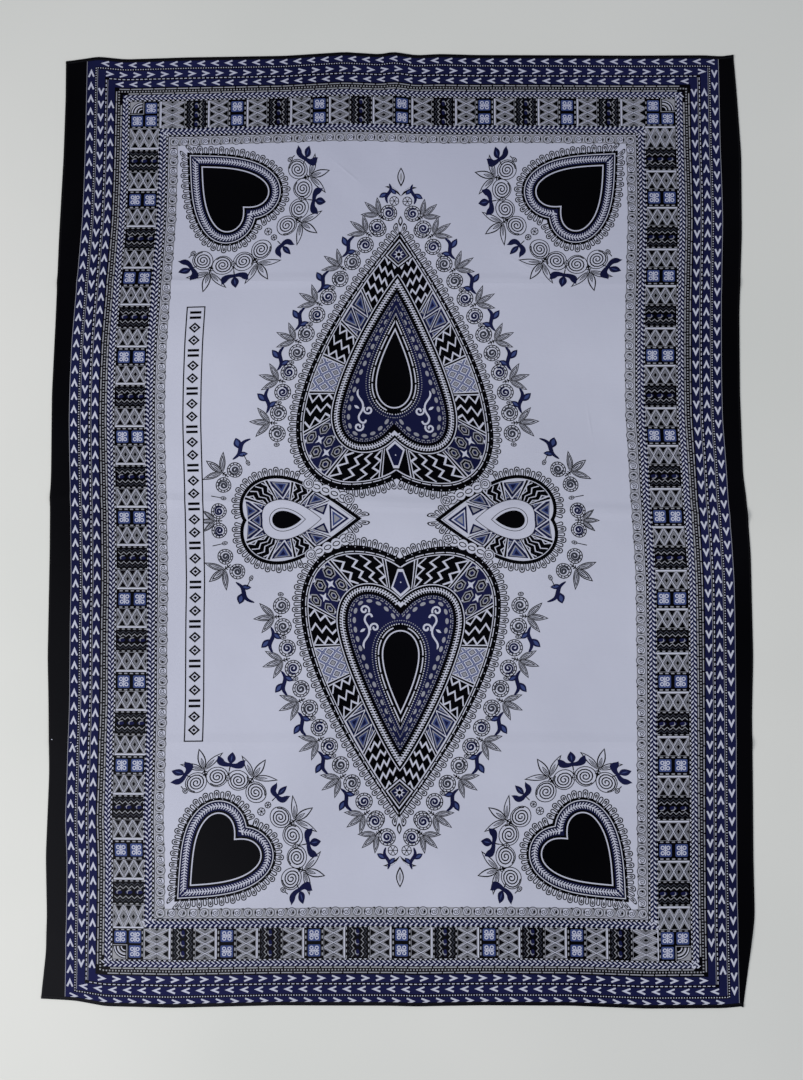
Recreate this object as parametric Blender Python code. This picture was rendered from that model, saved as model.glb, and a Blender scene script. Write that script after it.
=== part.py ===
"""A kanga: one oblong of printed cotton, spread face up on the surface that it rests on.

Metres, with +X across the cloth, +Y along it and +Z up. The origin is the middle of the laid
cloth's box, on the surface. Every piece is worked out on the flat cut, in millimetres from the
middle of the print (u across, v along), and laid_point() then lays it down: it pulls the cut's
edges to where they lie and lifts the cloth over its folds. The cloth is a wall that rests flat
on the surface and arches over nothing but those folds.
"""

from math import ceil

import bpy
import numpy as np

MM = 0.001

# The flat cut, in millimetres from the middle of the print.
LEFT_CUT = -545.0
RIGHT_CUT = 542.0
BOTTOM_CUT = -750.5
TOP_CUT = 752.5

# What runs along the edges of the cut, and how thick each piece is, in millimetres.
SELVEDGE_WIDTH = 3.6
HEM_WIDTH = 5.6
SEAM_GAP = 0.3
CLOTH_WALL = 1.5
SELVEDGE_WALL = 1.9
HEM_WALL = 2.4
EDGE_ROUNDING = 0.6  # how much of a selvedge's or hem's thickness is left at its two sides

# The longest side of a cell in the cloth's mesh.
CELL = 36.0

# How far each long edge lies outside its cut line. A row for each height along the cloth.
LONG_EDGES = (
    # along, left, right
    (-750, 4, -24),
    (-675, -2, -12),
    (-615, -2, -3),
    (-525, 2, -3),
    (-400, 0, -1),
    (-310, 3, 0),
    (-220, 7, 4),
    (-60, 8, 4),
    (0, 9, 1),
    (32, 10, -1),
    (65, 9, -5),
    (195, 11, -7),
    (325, 8, -5),
    (455, 6, 2),
    (585, 2, 4),
    (690, 1, -1),
    (752, 2, -5),
)

# How far each cut end lies outside its cut line. A row for each place across the cloth.
CUT_ENDS = (
    # across, top, bottom
    (-545, -6, -11),
    (-497, 2, -8),
    (-452, -3, 0),
    (-350, 0, 2),
    (-192, 2, -2),
    (-94, 8, -2),
    (-36, 4, -2),
    (-16, 8, -2),
    (23, 2, -1),
    (62, 4, -2),
    (120, 2, -3),
    (257, 1, -3),
    (373, 0, 1),
    (490, 0, 0),
    (520, -2, -3),
    (542, 1, -1),
)

# The folds that the cloth keeps from being stored folded in four: each runs from one long
# edge to the other, as a low ridge of its own height at either end.
STORED_FOLDS = (
    # along at left, along at right, half width, height at left, height at right
    (-349, -352, 15, 1.6, 2.2),
    (32, 2, 16, 2.4, 3.2),
    (379, 375, 15, 2.2, 1.5),
)

# The looser folds: a soft swell along a line, highest at its middle.
LOOSE_FOLDS = (
    # across 1, along 1, across 2, along 2, half width, height
    (-8, 756, -4, 560, 26, 2.6),
    (-150, 620, -40, 500, 38, 1.8),
    (140, 470, 250, 380, 44, 2.0),
    (330, 190, 420, 60, 40, 1.6),
    (-548, -300, -500, -420, 34, 2.0),
    (-546, -640, -470, -668, 26, 2.2),
    (470, -560, 542, -664, 30, 2.4),
    (-300, -520, -120, -600, 46, 1.5),
)

COLOURS = {
    # base colour (linear), roughness
    "cloth_panel": ((0.41, 0.42, 0.53, 1.0), 0.86),
    "selvedge": ((0.012, 0.012, 0.016, 1.0), 0.82),
    "hem": ((0.010, 0.010, 0.014, 1.0), 0.84),
}


def clear_scene():
    for old in list(bpy.data.objects):
        bpy.data.objects.remove(old, do_unlink=True)


def column(table, index):
    return [row[index] for row in table]


def across_share(u):
    """0 at the left cut line and 1 at the right one."""
    return (u - LEFT_CUT) / (RIGHT_CUT - LEFT_CUT)


def laid_place(u, v):
    """Where a point of the flat cut lies, in millimetres, with the print's middle at 0, 0."""
    across = across_share(u)
    along = (v - BOTTOM_CUT) / (TOP_CUT - BOTTOM_CUT)
    heights = column(LONG_EDGES, 0)
    left = -np.interp(v, heights, column(LONG_EDGES, 1))
    right = np.interp(v, heights, column(LONG_EDGES, 2))
    places = column(CUT_ENDS, 0)
    top = np.interp(u, places, column(CUT_ENDS, 1))
    bottom = -np.interp(u, places, column(CUT_ENDS, 2))
    return u + left + (right - left) * across, v + bottom + (top - bottom) * along


def ridge(distance, half_width):
    """1 on the ridge's line, falling smoothly to 0 at its half width."""
    reach = np.clip(np.abs(distance) / half_width, 0.0, 1.0)
    return np.cos(reach * np.pi / 2) ** 2


def lift(u, v):
    """How far the folds raise the cloth's underside, in millimetres."""
    across = across_share(u)
    height = np.zeros_like(u)
    for left, right, half_width, rise_left, rise_right in STORED_FOLDS:
        rise = rise_left + (rise_right - rise_left) * across
        height = np.maximum(height, rise * ridge(v - (left + (right - left) * across), half_width))
    for u1, v1, u2, v2, half_width, rise in LOOSE_FOLDS:
        length = np.hypot(u2 - u1, v2 - v1)
        way_u, way_v = (u2 - u1) / length, (v2 - v1) / length
        on_line = (u - u1) * way_u + (v - v1) * way_v
        off_line = (u - u1) * way_v - (v - v1) * way_u
        end_fade = ridge(on_line - length / 2, length / 2 + half_width)
        height = np.maximum(height, rise * end_fade * ridge(off_line, half_width))
    return height


def spaced(start, end, kept):
    """Positions from start to end, at most CELL apart, that pass through each kept one."""
    knots = [start] + [k for k in sorted(kept) if start + 2 < k < end - 2] + [end]
    places = [start]
    for low, high in zip(knots, knots[1:]):
        steps = ceil((high - low) / CELL)
        places += [low + (high - low) * i / steps for i in range(1, steps + 1)]
    return places


def section_rows(start, end):
    """The cloth's sections along its length, with five on each stored fold."""
    folds = []
    for left, right, half_width, _, _ in STORED_FOLDS:
        middle = (left + right) / 2
        folds += [middle + half_width * share for share in (-1, -0.5, 0, 0.5, 1)]
    clear = [h for h in column(LONG_EDGES, 0) if all(abs(h - f) > 9 for f in folds)]
    return spaced(start, end, clear + folds)


def slanted(v, u, low, high):
    """A section's place along the cloth where it crosses u: near a fold, it slants as that does."""
    middles = [(left + right) / 2 for left, right, *_ in STORED_FOLDS]
    slants = [right - left for left, right, *_ in STORED_FOLDS]
    slant = np.interp(v, [low, *middles, high], [0, *slants, 0])
    return v + slant * (across_share(u) - 0.5)


def box_middle():
    """The middle of the laid cloth's box, from the cut's own outline."""
    us = np.array(spaced(LEFT_CUT, RIGHT_CUT, column(CUT_ENDS, 0)))
    vs = np.array(section_rows(BOTTOM_CUT, TOP_CUT))
    xs = [laid_place(np.full_like(vs, side), vs)[0] for side in (LEFT_CUT, RIGHT_CUT)]
    ys = [laid_place(us, np.full_like(us, end))[1] for end in (BOTTOM_CUT, TOP_CUT)]
    return (np.min(xs) + np.max(xs)) / 2, (np.min(ys) + np.max(ys)) / 2


def material(name):
    made = bpy.data.materials.get(name)
    if made is None:
        colour, roughness = COLOURS[name]
        made = bpy.data.materials.new(name)
        made.use_nodes = True
        made.diffuse_color = colour
        shader = made.node_tree.nodes["Principled BSDF"]
        shader.inputs["Base Color"].default_value = colour
        shader.inputs["Roughness"].default_value = roughness
        shader.inputs["Metallic"].default_value = 0.0
    return made


def piece(name, finish, us, vs, wall, rounded=None):
    """A wall of cloth over the grid us by vs, flat below wherever no fold lifts it.

    rounded is "u" or "v" where the piece is a narrow strip, thinner at its two long sides.
    """
    u, v = np.meshgrid(us, vs)
    v = slanted(v, u, BOTTOM_CUT + HEM_WIDTH + SEAM_GAP, TOP_CUT - HEM_WIDTH - SEAM_GAP)
    x, y = laid_place(u, v)
    middle_x, middle_y = box_middle()
    x, y = x - middle_x, y - middle_y
    under = lift(u, v)
    thick = np.full_like(under, wall)
    if rounded == "u":
        thick[:, [0, -1]] *= EDGE_ROUNDING
    if rounded == "v":
        thick[[0, -1], :] *= EDGE_ROUNDING
    rows, columns = u.shape
    points = np.stack([x, y, under + thick], axis=-1).reshape(-1, 3)
    points = np.concatenate([points, np.stack([x, y, under], axis=-1).reshape(-1, 3)]) * MM
    top = np.arange(rows * columns).reshape(rows, columns)
    below = top + rows * columns
    faces = []
    for r in range(rows - 1):
        for c in range(columns - 1):
            faces.append((top[r, c], top[r, c + 1], top[r + 1, c + 1], top[r + 1, c]))
            faces.append((below[r, c], below[r + 1, c], below[r + 1, c + 1], below[r, c + 1]))
    rim = [(0, c) for c in range(columns - 1)]
    rim += [(r, columns - 1) for r in range(rows - 1)]
    rim += [(rows - 1, c) for c in range(columns - 1, 0, -1)]
    rim += [(r, 0) for r in range(rows - 1, 0, -1)]
    for here, there in zip(rim, rim[1:] + rim[:1]):
        faces.append((top[there], top[here], below[here], below[there]))
    mesh = bpy.data.meshes.new(name)
    mesh.from_pydata(points.tolist(), [], [[int(i) for i in face] for face in faces])
    mesh.materials.append(material(finish))
    mesh.shade_smooth()
    mesh.set_sharp_from_angle(angle=0.6)
    made = bpy.data.objects.new(name, mesh)
    bpy.context.scene.collection.objects.link(made)
    return made


def strip(start, end):
    """Three places across a narrow strip: its two sides and its middle."""
    return [start, (start + end) / 2, end]


def build():
    clear_scene()
    inner_left = LEFT_CUT + SELVEDGE_WIDTH
    inner_right = RIGHT_CUT - SELVEDGE_WIDTH
    inner_bottom = BOTTOM_CUT + HEM_WIDTH
    inner_top = TOP_CUT - HEM_WIDTH
    between_hems = section_rows(inner_bottom + SEAM_GAP, inner_top - SEAM_GAP)
    across_panel = spaced(inner_left + SEAM_GAP, inner_right - SEAM_GAP, column(CUT_ENDS, 0))
    across_cut = spaced(LEFT_CUT, RIGHT_CUT, column(CUT_ENDS, 0))
    piece("cloth_panel", "cloth_panel", across_panel, between_hems, CLOTH_WALL)
    sides = {"left": (LEFT_CUT, inner_left), "right": (inner_right, RIGHT_CUT)}
    for side, (start, end) in sides.items():
        edge = strip(start, end)
        piece(f"selvedge_{side}", "selvedge", edge, between_hems, SELVEDGE_WALL, "u")
    ends = {"bottom": (BOTTOM_CUT, inner_bottom), "top": (inner_top, TOP_CUT)}
    for end_name, (start, end) in ends.items():
        piece(f"hem_{end_name}", "hem", across_cut, strip(start, end), HEM_WALL, "v")


build()
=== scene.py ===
"""A printed cotton kanga spread face up on a pale table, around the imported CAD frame.

The print is drawn in millimetres on the flat cut, from the middle of the printed frame: u runs
across the width and v along the length. Shapes are printed one over the other, cut into one
layer, and laid on the cloth with its folds. No part of the print comes from a picture.
"""

import math

import bmesh
import bpy
import numpy as np
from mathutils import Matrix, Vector
from mathutils.geometry import delaunay_2d_cdt


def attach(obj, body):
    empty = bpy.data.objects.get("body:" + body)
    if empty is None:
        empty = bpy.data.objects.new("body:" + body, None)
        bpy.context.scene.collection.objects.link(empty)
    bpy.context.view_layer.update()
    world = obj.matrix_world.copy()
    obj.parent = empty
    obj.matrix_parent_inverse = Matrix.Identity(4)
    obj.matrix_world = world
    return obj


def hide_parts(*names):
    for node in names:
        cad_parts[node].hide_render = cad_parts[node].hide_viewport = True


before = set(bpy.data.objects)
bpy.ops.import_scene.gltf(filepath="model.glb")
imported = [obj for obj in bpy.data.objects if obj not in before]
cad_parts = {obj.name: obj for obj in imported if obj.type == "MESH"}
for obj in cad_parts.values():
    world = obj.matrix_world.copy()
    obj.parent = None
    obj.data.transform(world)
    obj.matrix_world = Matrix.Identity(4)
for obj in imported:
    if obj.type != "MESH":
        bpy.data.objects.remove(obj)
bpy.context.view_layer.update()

MM = 0.001

# --- The cut, its edges and its folds, as in part.py (mm) ---
LEFT_CUT = -545.0
RIGHT_CUT = 542.0
BOTTOM_CUT = -750.5
TOP_CUT = 752.5
SELVEDGE_WIDTH = 3.6
HEM_WIDTH = 5.6
# along, left, right: how far each long edge lies outwards of the cut
LONG_EDGES = np.array((
    (-750, 4, -24), (-675, -2, -12), (-615, -2, -3), (-525, 2, -3), (-400, 0, -1), (-310, 3, 0),
    (-220, 7, 4), (-60, 8, 4), (0, 9, 1), (32, 10, -1), (65, 9, -5), (195, 11, -7), (325, 8, -5),
    (455, 6, 2), (585, 2, 4), (690, 1, -1), (752, 2, -5),
), float)
# across, top, bottom: how far each cut end lies outwards of the cut
CUT_ENDS = np.array((
    (-545, -6, -11), (-497, 2, -8), (-452, -3, 0), (-350, 0, 2), (-192, 2, -2), (-94, 8, -2),
    (-36, 4, -2), (-16, 8, -2), (23, 2, -1), (62, 4, -2), (120, 2, -3), (257, 1, -3), (373, 0, 1),
    (490, 0, 0), (520, -2, -3), (542, 1, -1),
), float)
# along, left, right: how far the print's side lines lie to the right of where they were printed
PRINT_PULL = np.array((
    (-750, 2, -1), (-600, 1, -1), (-531, 0, 0), (-470, -4, 1), (-409, -3, 2), (-287, -2, 4),
    (-163, -4, 5.5), (-100, -4, 5.5), (-37, -6, 3), (26, -8, -1), (90, -11, -3.5), (154, -13.5, -7),
    (218, -13.5, -7), (283, -12, -6), (348, -8, -4.6), (414, -4, -2), (480, 0, 0.5), (546, 1.5, 0),
    (600, 2, -1), (750, 2, -1),
), float)
# across, top, bottom: how far the print's end lines lie up from where they were printed
PRINT_LIFT = np.array((
    (-515, 0, -1), (-345, 0, -2), (-200, 4.5, -1), (-100, 7, 1), (-50, 7, 1.5), (-3, 4.5, 1.5),
    (45, 3, 1.5), (94, 2, 1.5), (143, 3, 1.5), (190, 3, 1.5), (290, 1.5, 0.5), (380, 0.5, -2),
    (515, 0, -1),
), float)
# along at the left, along at the right, half width, height at the left, height at the right
STORED_FOLDS = ((-349, -352, 15, 1.6, 2.2), (32, 2, 16, 2.4, 3.2), (379, 375, 15, 2.2, 1.5))
# u1, v1, u2, v2, half width, height
LOOSE_FOLDS = (
    (-8, 756, -4, 560, 26, 2.6), (-150, 620, -40, 500, 38, 1.8), (140, 470, 250, 380, 44, 2.0),
    (330, 190, 420, 60, 40, 1.6), (-548, -300, -500, -420, 34, 2.0), (-546, -640, -470, -668, 26, 2.2),
    (470, -560, 542, -664, 30, 2.4), (-300, -520, -120, -600, 46, 1.5),
)
# narrow creases, which are bump alone; one that crosses the cloth starts and ends far outside it
# u1, v1, u2, v2, half width, height
CREASES = (
    (-3000, 412, 3000, 341, 5.0, 0.5), (-3000, 109, 3000, -80, 5.5, 0.55),
    (-3000, -357, 3000, -346, 5.0, 0.5), (-9, 900, -4, 545, 4.5, 0.65),
    (-128, 594, -46, 522, 4.0, 0.6), (146, 432, 256, 371, 4.5, 0.6), (290, 196, 304, 104, 4.0, 0.42),
)

# --- The printed frame (mm) ---
FIELD_ACROSS = 362.0  # half the lilac field's width
FIELD_ALONG = 603.5
SIDES = ("left", "right", "top", "bottom")
LONG_SIDES = SIDES[:2]
# how far from the field a band is drawn, and how far it lies at the left, right, top and bottom
BAND_PLACES = np.array((
    (-60, -61.1, -62.6, -61.7, -62.9), (0, -1.1, -2.6, -1.7, -2.9), (18, 17.0, 15.7, 15.3, 14.4),
    (32, 32.8, 30.6, 29.9, 29.3), (80, 79.7, 79.0, 74.8, 75.2), (100, 99.6, 98.9, 93.6, 94.0),
    (130, 129.7, 129.2, 123.0, 123.6), (155, 154.8, 154.2, 148.5, 149.3),
))
PRINT_REACH = 152.7  # from the field to the last navy band's outer edge
OFF_AXIS = -2.0  # the medallion's axis
MIDDLE = -6.0  # the medallion's centre along the length


PAST_ENDS = 60  # how far a table is carried on past its first and last knots
SIDE_BLUR = 9.0
END_BLUR = 5.0


def smooth_table(knots, values, blur=SIDE_BLUR):
    """The table at every millimetre, with its corners rounded."""
    fine = np.arange(knots[0] - PAST_ENDS, knots[-1] + PAST_ENDS + 1, 1.0)
    line = np.interp(fine, knots, values)
    reach = np.arange(-3 * blur, 3 * blur + 1)
    weights = np.exp(-0.5 * (reach / blur) ** 2)
    padded = np.pad(line, int(3 * blur), mode="edge")
    return fine, np.convolve(padded, weights / weights.sum(), mode="valid")


LEFT_EDGE = smooth_table(LONG_EDGES[:, 0], -LONG_EDGES[:, 1])
RIGHT_EDGE = smooth_table(LONG_EDGES[:, 0], LONG_EDGES[:, 2])
TOP_EDGE = smooth_table(CUT_ENDS[:, 0], CUT_ENDS[:, 1], END_BLUR)
BOTTOM_EDGE = smooth_table(CUT_ENDS[:, 0], -CUT_ENDS[:, 2], END_BLUR)
PULL_LEFT = smooth_table(PRINT_PULL[:, 0], PRINT_PULL[:, 1])
PULL_RIGHT = smooth_table(PRINT_PULL[:, 0], PRINT_PULL[:, 2])
LIFT_TOP = smooth_table(PRINT_LIFT[:, 0], PRINT_LIFT[:, 1])
LIFT_BOTTOM = smooth_table(PRINT_LIFT[:, 0], PRINT_LIFT[:, 2])


def between(at, knots, columns):
    """Each point's value, blended between the columns' values at the knots."""
    out = np.zeros(len(at))
    weight = np.interp(at, knots, np.arange(len(knots)))
    for i, column in enumerate(columns):
        out += np.clip(1 - np.abs(weight - i), 0, 1) * column
    return out


def laid(points):
    """Where points of the flat cut lie on the table (mm), before the height."""
    points = np.asarray(points, float)
    u, v = points[:, 0], points[:, 1]
    edge_u = FIELD_ACROSS + PRINT_REACH
    dx = between(u, (LEFT_CUT, -edge_u, edge_u, RIGHT_CUT),
                 [np.interp(v, *table) for table in (LEFT_EDGE, PULL_LEFT, PULL_RIGHT, RIGHT_EDGE)])
    dy = between(v, (BOTTOM_CUT, -FIELD_ALONG, FIELD_ALONG, TOP_CUT),
                 [np.interp(u, *table) for table in (BOTTOM_EDGE, LIFT_BOTTOM, LIFT_TOP, TOP_EDGE)])
    return np.c_[u + dx, v + dy]


def ridge(distance, half_width):
    return np.cos(np.minimum(np.abs(distance) / half_width, 1) * math.pi / 2) ** 2


def height(points):
    """How high the cloth's underside is off the table (mm)."""
    u, v = np.asarray(points, float).T
    across = (u - LEFT_CUT) / (RIGHT_CUT - LEFT_CUT)
    lifts = [np.zeros(len(u))]
    for left, right, half_width, low, high in STORED_FOLDS:
        middle = left + (right - left) * across
        lifts.append((low + (high - low) * across) * ridge(v - middle, half_width))
    for u1, v1, u2, v2, half_width, top in LOOSE_FOLDS:
        length = math.hypot(u2 - u1, v2 - v1)
        du, dv = (u2 - u1) / length, (v2 - v1) / length
        on_line = (u - u1) * du + (v - v1) * dv
        off_line = (v - v1) * du - (u - u1) * dv
        along_it = ridge(on_line - length / 2, length / 2 + half_width)
        lifts.append(top * ridge(off_line, half_width) * along_it)
    return np.max(lifts, axis=0)


# --- Printing: shapes in order, each over the last ---
shapes = []


def paint(ink, points):
    """One printed shape. "ground" leaves the cloth bare there."""
    shapes.append((ink, np.asarray(points, float)))


def flat(points):
    return np.asarray(points, float)


def spot(at, x, y, turn=0.0, size=1.0, flip=1):
    """A small plane of its own at a point of another: turned by degrees, y mirrored where flip is -1."""
    c, s = math.cos(math.radians(turn)), math.sin(math.radians(turn))

    def inner(points):
        p = np.asarray(points, float) * (size, size * flip)
        return at(np.c_[x + c * p[:, 0] - s * p[:, 1], y + s * p[:, 0] + c * p[:, 1]])

    return inner


def disc(radius, sides=12, x=0.0, y=0.0):
    turn = np.arange(sides) * 2 * math.pi / sides
    return np.c_[x + radius * np.cos(turn), y + radius * np.sin(turn)]


def box(x1, y1, x2, y2):
    return np.array(((x1, y1), (x2, y1), (x2, y2), (x1, y2)), float)


def lens(length, width, steps=7, start=0.0, lean=0.5):
    """A leaf's outline from start along x, widest at the lean share of its length."""
    f = np.linspace(0, 1, steps)
    swell = np.sin(math.pi * f ** (math.log(0.5) / math.log(lean))) * width / 2
    along = start + f * length
    return np.vstack((np.c_[along, swell], np.c_[along, -swell][-2:0:-1]))


LEAST_MITRE = 0.45  # keeps a stroke's sharp corners from growing into spikes
LEAST_BARE = 0.2  # the least share of an outlined shape that is left bare
ON_AXIS = 1e-6  # nearer to the axis than this counts as on it


def ribbon(at, ink, points, width):
    """A stroke along a line, mitred at its corners; the width may change along it."""
    p = np.asarray(points, float)
    step = np.diff(p, axis=0)
    side = np.c_[-step[:, 1], step[:, 0]] / np.hypot(*step.T)[:, None]
    normal = np.vstack((side[:1], side[:-1] + side[1:], side[-1:]))
    normal /= np.hypot(*normal.T)[:, None]
    mitre = np.r_[1, np.maximum((normal[1:-1] * side[1:]).sum(axis=1), LEAST_MITRE), 1]
    half = (np.broadcast_to(width, len(p)) / 2 / mitre)[:, None]
    paint(ink, at(np.vstack((p + normal * half, (p - normal * half)[::-1]))))


def outlined(at, outline, line):
    """A bare convex shape round the plane's middle, with a black line drawn round it."""
    paint("black", at(outline))
    reach = np.abs(outline).max(axis=0)
    paint("ground", at(outline * np.maximum(1 - line / reach, LEAST_BARE)))


def nested(at, outline, rows):
    """An outline drawn again and again about its middle, at other shares of its size."""
    middle = outline.mean(axis=0)
    for share, ink in rows:
        paint(ink, at(middle + (outline - middle) * share))


def clipped(at, low, high):
    """The same plane, with whatever lies outside two corners of it drawn in to its edge."""
    return lambda points: at(np.clip(points, low, high))


def mirrored(at, flip):
    """The same plane, with x mirrored where flip is -1."""
    return lambda points: at(np.asarray(points, float) * (flip, 1))


def discs(at, sides, rows):
    """Discs on one middle, each over the last."""
    for radius, ink in rows:
        paint(ink, at(disc(radius, sides)))


def star(points, long, short):
    """A star's outline, its tips long and its notches short from the middle."""
    return disc(1, 2 * points) * np.where(np.arange(2 * points) % 2, short, long)[:, None]


def spiral(inner, outer, turns, steps=14, start=0.0):
    f = np.linspace(0, 1, int(steps * turns) + 1)
    radius = inner + (outer - inner) * f
    angle = math.radians(start) + f * turns * 2 * math.pi
    return np.c_[radius * np.cos(angle), radius * np.sin(angle)]


# --- Bands: s runs along a band and t across it, outwards ---
def placed(name, t):
    """How far from the field a band drawn at t lies on one side."""
    return np.interp(t, BAND_PLACES[:, 0], BAND_PLACES[:, 1 + SIDES.index(name)])


def side(name):
    """One side of the printed frame: s from its middle, going round clockwise, and t from the field."""
    def at(points):
        s, t = np.asarray(points, float).T
        away = placed(name, t)
        return {
            "left": np.c_[-FIELD_ACROSS - away, s],
            "top": np.c_[s, FIELD_ALONG + away],
            "right": np.c_[FIELD_ACROSS + away, -s],
            "bottom": np.c_[-s, -FIELD_ALONG - away],
        }[name]
    return at


def side_half(name, t):
    """Half of a side's length at t from the field."""
    if name in LONG_SIDES:
        return FIELD_ALONG + (placed("top", t) + placed("bottom", t)) / 2
    return FIELD_ACROSS + (placed("left", t) + placed("right", t)) / 2


def centred(half, pitch, phase=0.0, spare=0.0):
    """Places at phase plus whole pitches, no nearer to either end than spare."""
    first = math.ceil((-half + spare - phase) / pitch)
    last = math.floor((half - spare - phase) / pitch)
    return phase + pitch * np.arange(first, last + 1)


def frame_box(t):
    left, right, top, bottom = (placed(name, t) for name in SIDES)
    return box(-FIELD_ACROSS - left, -FIELD_ALONG - bottom, FIELD_ACROSS + right, FIELD_ALONG + top)


FINE_STEPS = 30


def curve(controls, steps=FINE_STEPS):
    """Cubic Bezier pieces as one line: 3n + 1 control points."""
    c = np.asarray(controls, float)
    f = np.linspace(0, 1, steps + 1)[:, None]
    pieces = [c[:1]]
    for i in range(0, len(c) - 1, 3):
        a, b, d, e = c[i:i + 4]
        piece = (1 - f) ** 3 * a + 3 * (1 - f) ** 2 * f * b + 3 * (1 - f) * f ** 2 * d + f ** 3 * e
        pieces.append(piece[1:])
    return np.vstack(pieces)


def grown(half, by):
    """Half an outline, tip to notch, moved outwards: mitred at the axis x = 0."""
    step = np.gradient(half, axis=0)
    real = np.flatnonzero(np.hypot(*step.T) > ON_AXIS)
    step = step[real[np.abs(real[None, :] - np.arange(len(half))[:, None]).argmin(axis=1)]]
    out = np.c_[step[:, 1], -step[:, 0]] / np.hypot(*step.T)[:, None]
    moved = half + out * by
    inside = np.flatnonzero(moved[:, 0] > ON_AXIS)
    for ends in (slice(0, inside[0] + 2), slice(inside[-1] - 1, None)):
        near, far = (inside[0], inside[0] + 1) if ends.start == 0 else (inside[-1], inside[-1] - 1)
        slope = (moved[near, 1] - moved[far, 1]) / (moved[near, 0] - moved[far, 0])
        axis_point = (0, moved[near, 1] - slope * moved[near, 0])
        if ends.start == 0:
            moved[:near] = axis_point
            moved[0] = axis_point
        else:
            moved[near + 1:] = axis_point
            moved[-1] = axis_point
    return moved


def whole(half):
    """The closed outline from its right half."""
    return np.vstack((half, half[-2:0:-1] * (-1, 1)))


class Ring:
    """The band between two matching half outlines. s starts at the tip, and t is 0 to width across."""

    def __init__(self, inner, outer, width):
        self.inner, self.outer, self.width = inner, outer, width
        middle = (inner + outer) / 2
        self.run = np.r_[0, np.cumsum(np.hypot(*np.diff(middle, axis=0).T))]
        self.length = self.run[-1]

    def at(self, points, flip=1):
        s, t = np.asarray(points, float).T
        index = np.interp(s, self.run, np.arange(len(self.run)))
        low = np.minimum(index.astype(int), len(self.run) - 2)
        part = (index - low)[:, None]
        inner = self.inner[low] * (1 - part) + self.inner[low + 1] * part
        outer = self.outer[low] * (1 - part) + self.outer[low + 1] * part
        return (inner + (outer - inner) * (t / self.width)[:, None]) * (flip, 1)


def cell(start, end, width, steps):
    """A box of a ring from start to end, with points enough to bend with the ring."""
    line = np.linspace(start, end, steps)
    return np.vstack((np.c_[line, np.zeros(steps)], np.c_[line[::-1], np.full(steps, width)]))


def fills(plane, half, rows):
    """Half an outline mirrored and filled, again and again, moved outwards by other distances."""
    for away, ink in rows:
        paint(ink, plane(whole(grown(half, away) if away else half)))


def two_sides(plane, ring):
    """The ring's band on its right and on its left, as planes of s and t."""
    return [lambda points, flip=flip: plane(ring.at(points, flip)) for flip in (1, -1)]


# --- The border: everything in millimetres from the field's edge ---
QUARTERS = ((-1, -1), (-1, 1), (1, -1), (1, 1))
BLOCK_BAND = (32.1, 80.4)
# from the outside in: where each plain ring of the frame starts, and its ink
FRAME_RINGS = (
    (PRINT_REACH, "navy"), (139.3, "black"), (135.4, "navy"), (122.7, "black"), (118.5, "navy"),
    (106.4, "black"), (92.9, "navy"), (84.2, "black"), (BLOCK_BAND[1], "grey"), (32.4, "black"),
    (30.4, "navy"), (21.8, "black"), (17.5, "ground"), (16.6, "grey"), (2.4, "ground"),
)
BLOCK_PITCH = {"left": 64.3, "right": 64.3, "top": 66.9, "bottom": 66.9}
BLOCKS_EACH_WAY = {"left": 9, "right": 9, "top": 5, "bottom": 5}
BLUE_BLOCK_HALF = 15
DARK_BLOCK_HALF = 19
BLOCK_DASH_PITCH = 8.9
# middle, 1 if the row points with s on the long sides, a tip's place on the long sides and on the ends
CHEVRON_ROWS = ((145.3, 1, 9.0, 1.2), (128.6, -1, 5.6, 0.6), (112.0, 1, -0.6, 3.2))
CHEVRON_PITCH = {"left": 21.3, "right": 21.3, "top": 22.4, "bottom": 22.4}
# how far past a side's ends, at t, its chevrons and its braid go: on the long sides, on the ends
CHEVRONS_PAST = (-7, 5)
ROPE_PAST = (0, 5)
CHEVRON_LONG = 13  # room for one at a side's end
# half an arrowhead's width on the long sides and on the ends
CHEVRON_HALF = (5.4, 4.9)
# an arrowhead from its tip, one arm a little heavier than the other
CHEVRON = np.array(((0.4, 0), (-12.6, 1), (-13.7, 0.5), (-7.2, 0), (-13.7, -0.56), (-12.8, -1)))
# rows of boxes and dashes: middle, ink, length, width, pitch, place of one of them, spare at both ends
BOX_ROWS = (
    (137.5, "ground", 1.7, 1.5, 4.1, 0, 0), (120.6, "ground", 4.4, 1.3, 7.2, 0, 0),
    (95.2, "grey", 16.9, 2.1, 19.0, 0, 9), (103.4, "grey", 16.9, 1.7, 19.0, 4.0, 9),
    (99.3, "grey", 2.2, 2.4, 4.8, 0, 0),
)
FINE_LINES = (152.3, 134.9, 118.0)
ROPE_MIDDLES = (88.4, 25.8)
ROPE_PITCH = {"left": 7.4, "right": 7.3, "top": 7.63, "bottom": 7.68}
ROPE_STROKE = np.array(((-3.4, 0.5), (-0.4, 0.5), (3.4, 4.4), (0.4, 4.4)))
LATTICE_PITCH = 15.3
LATTICE_DIAMOND = np.array(((-6.6, 0), (0, -4.4), (6.6, 0), (0, 4.4)))
LATTICE_INKS = ((1.45, "charcoal"), (1.2, "grey"), (0.98, "charcoal"), (0.8, "grey"), (0.62, "black"))
LATTICE_SPARE = 2.8  # between a block's side and the lattice beside it
SCROLL_PITCH = {"left": 32.2, "right": 32.2, "top": 33.4, "bottom": 33.4}
SCROLL_RINGS = (
    (7.9, "charcoal"), (7.0, "grey"), (5.9, "ground"), (5.0, "grey"), (3.9, "charcoal"), (3.1, "grey"),
)
FAN_CORNER = 28.2
FAN_RINGS = (
    (19.4, "black"), (18.0, "ground"), (16.2, "black"), (13.6, "ground"),
    (12.0, "grey"), (10.2, "black"), (7.6, "ground"), (6.0, "black"),
)


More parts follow.
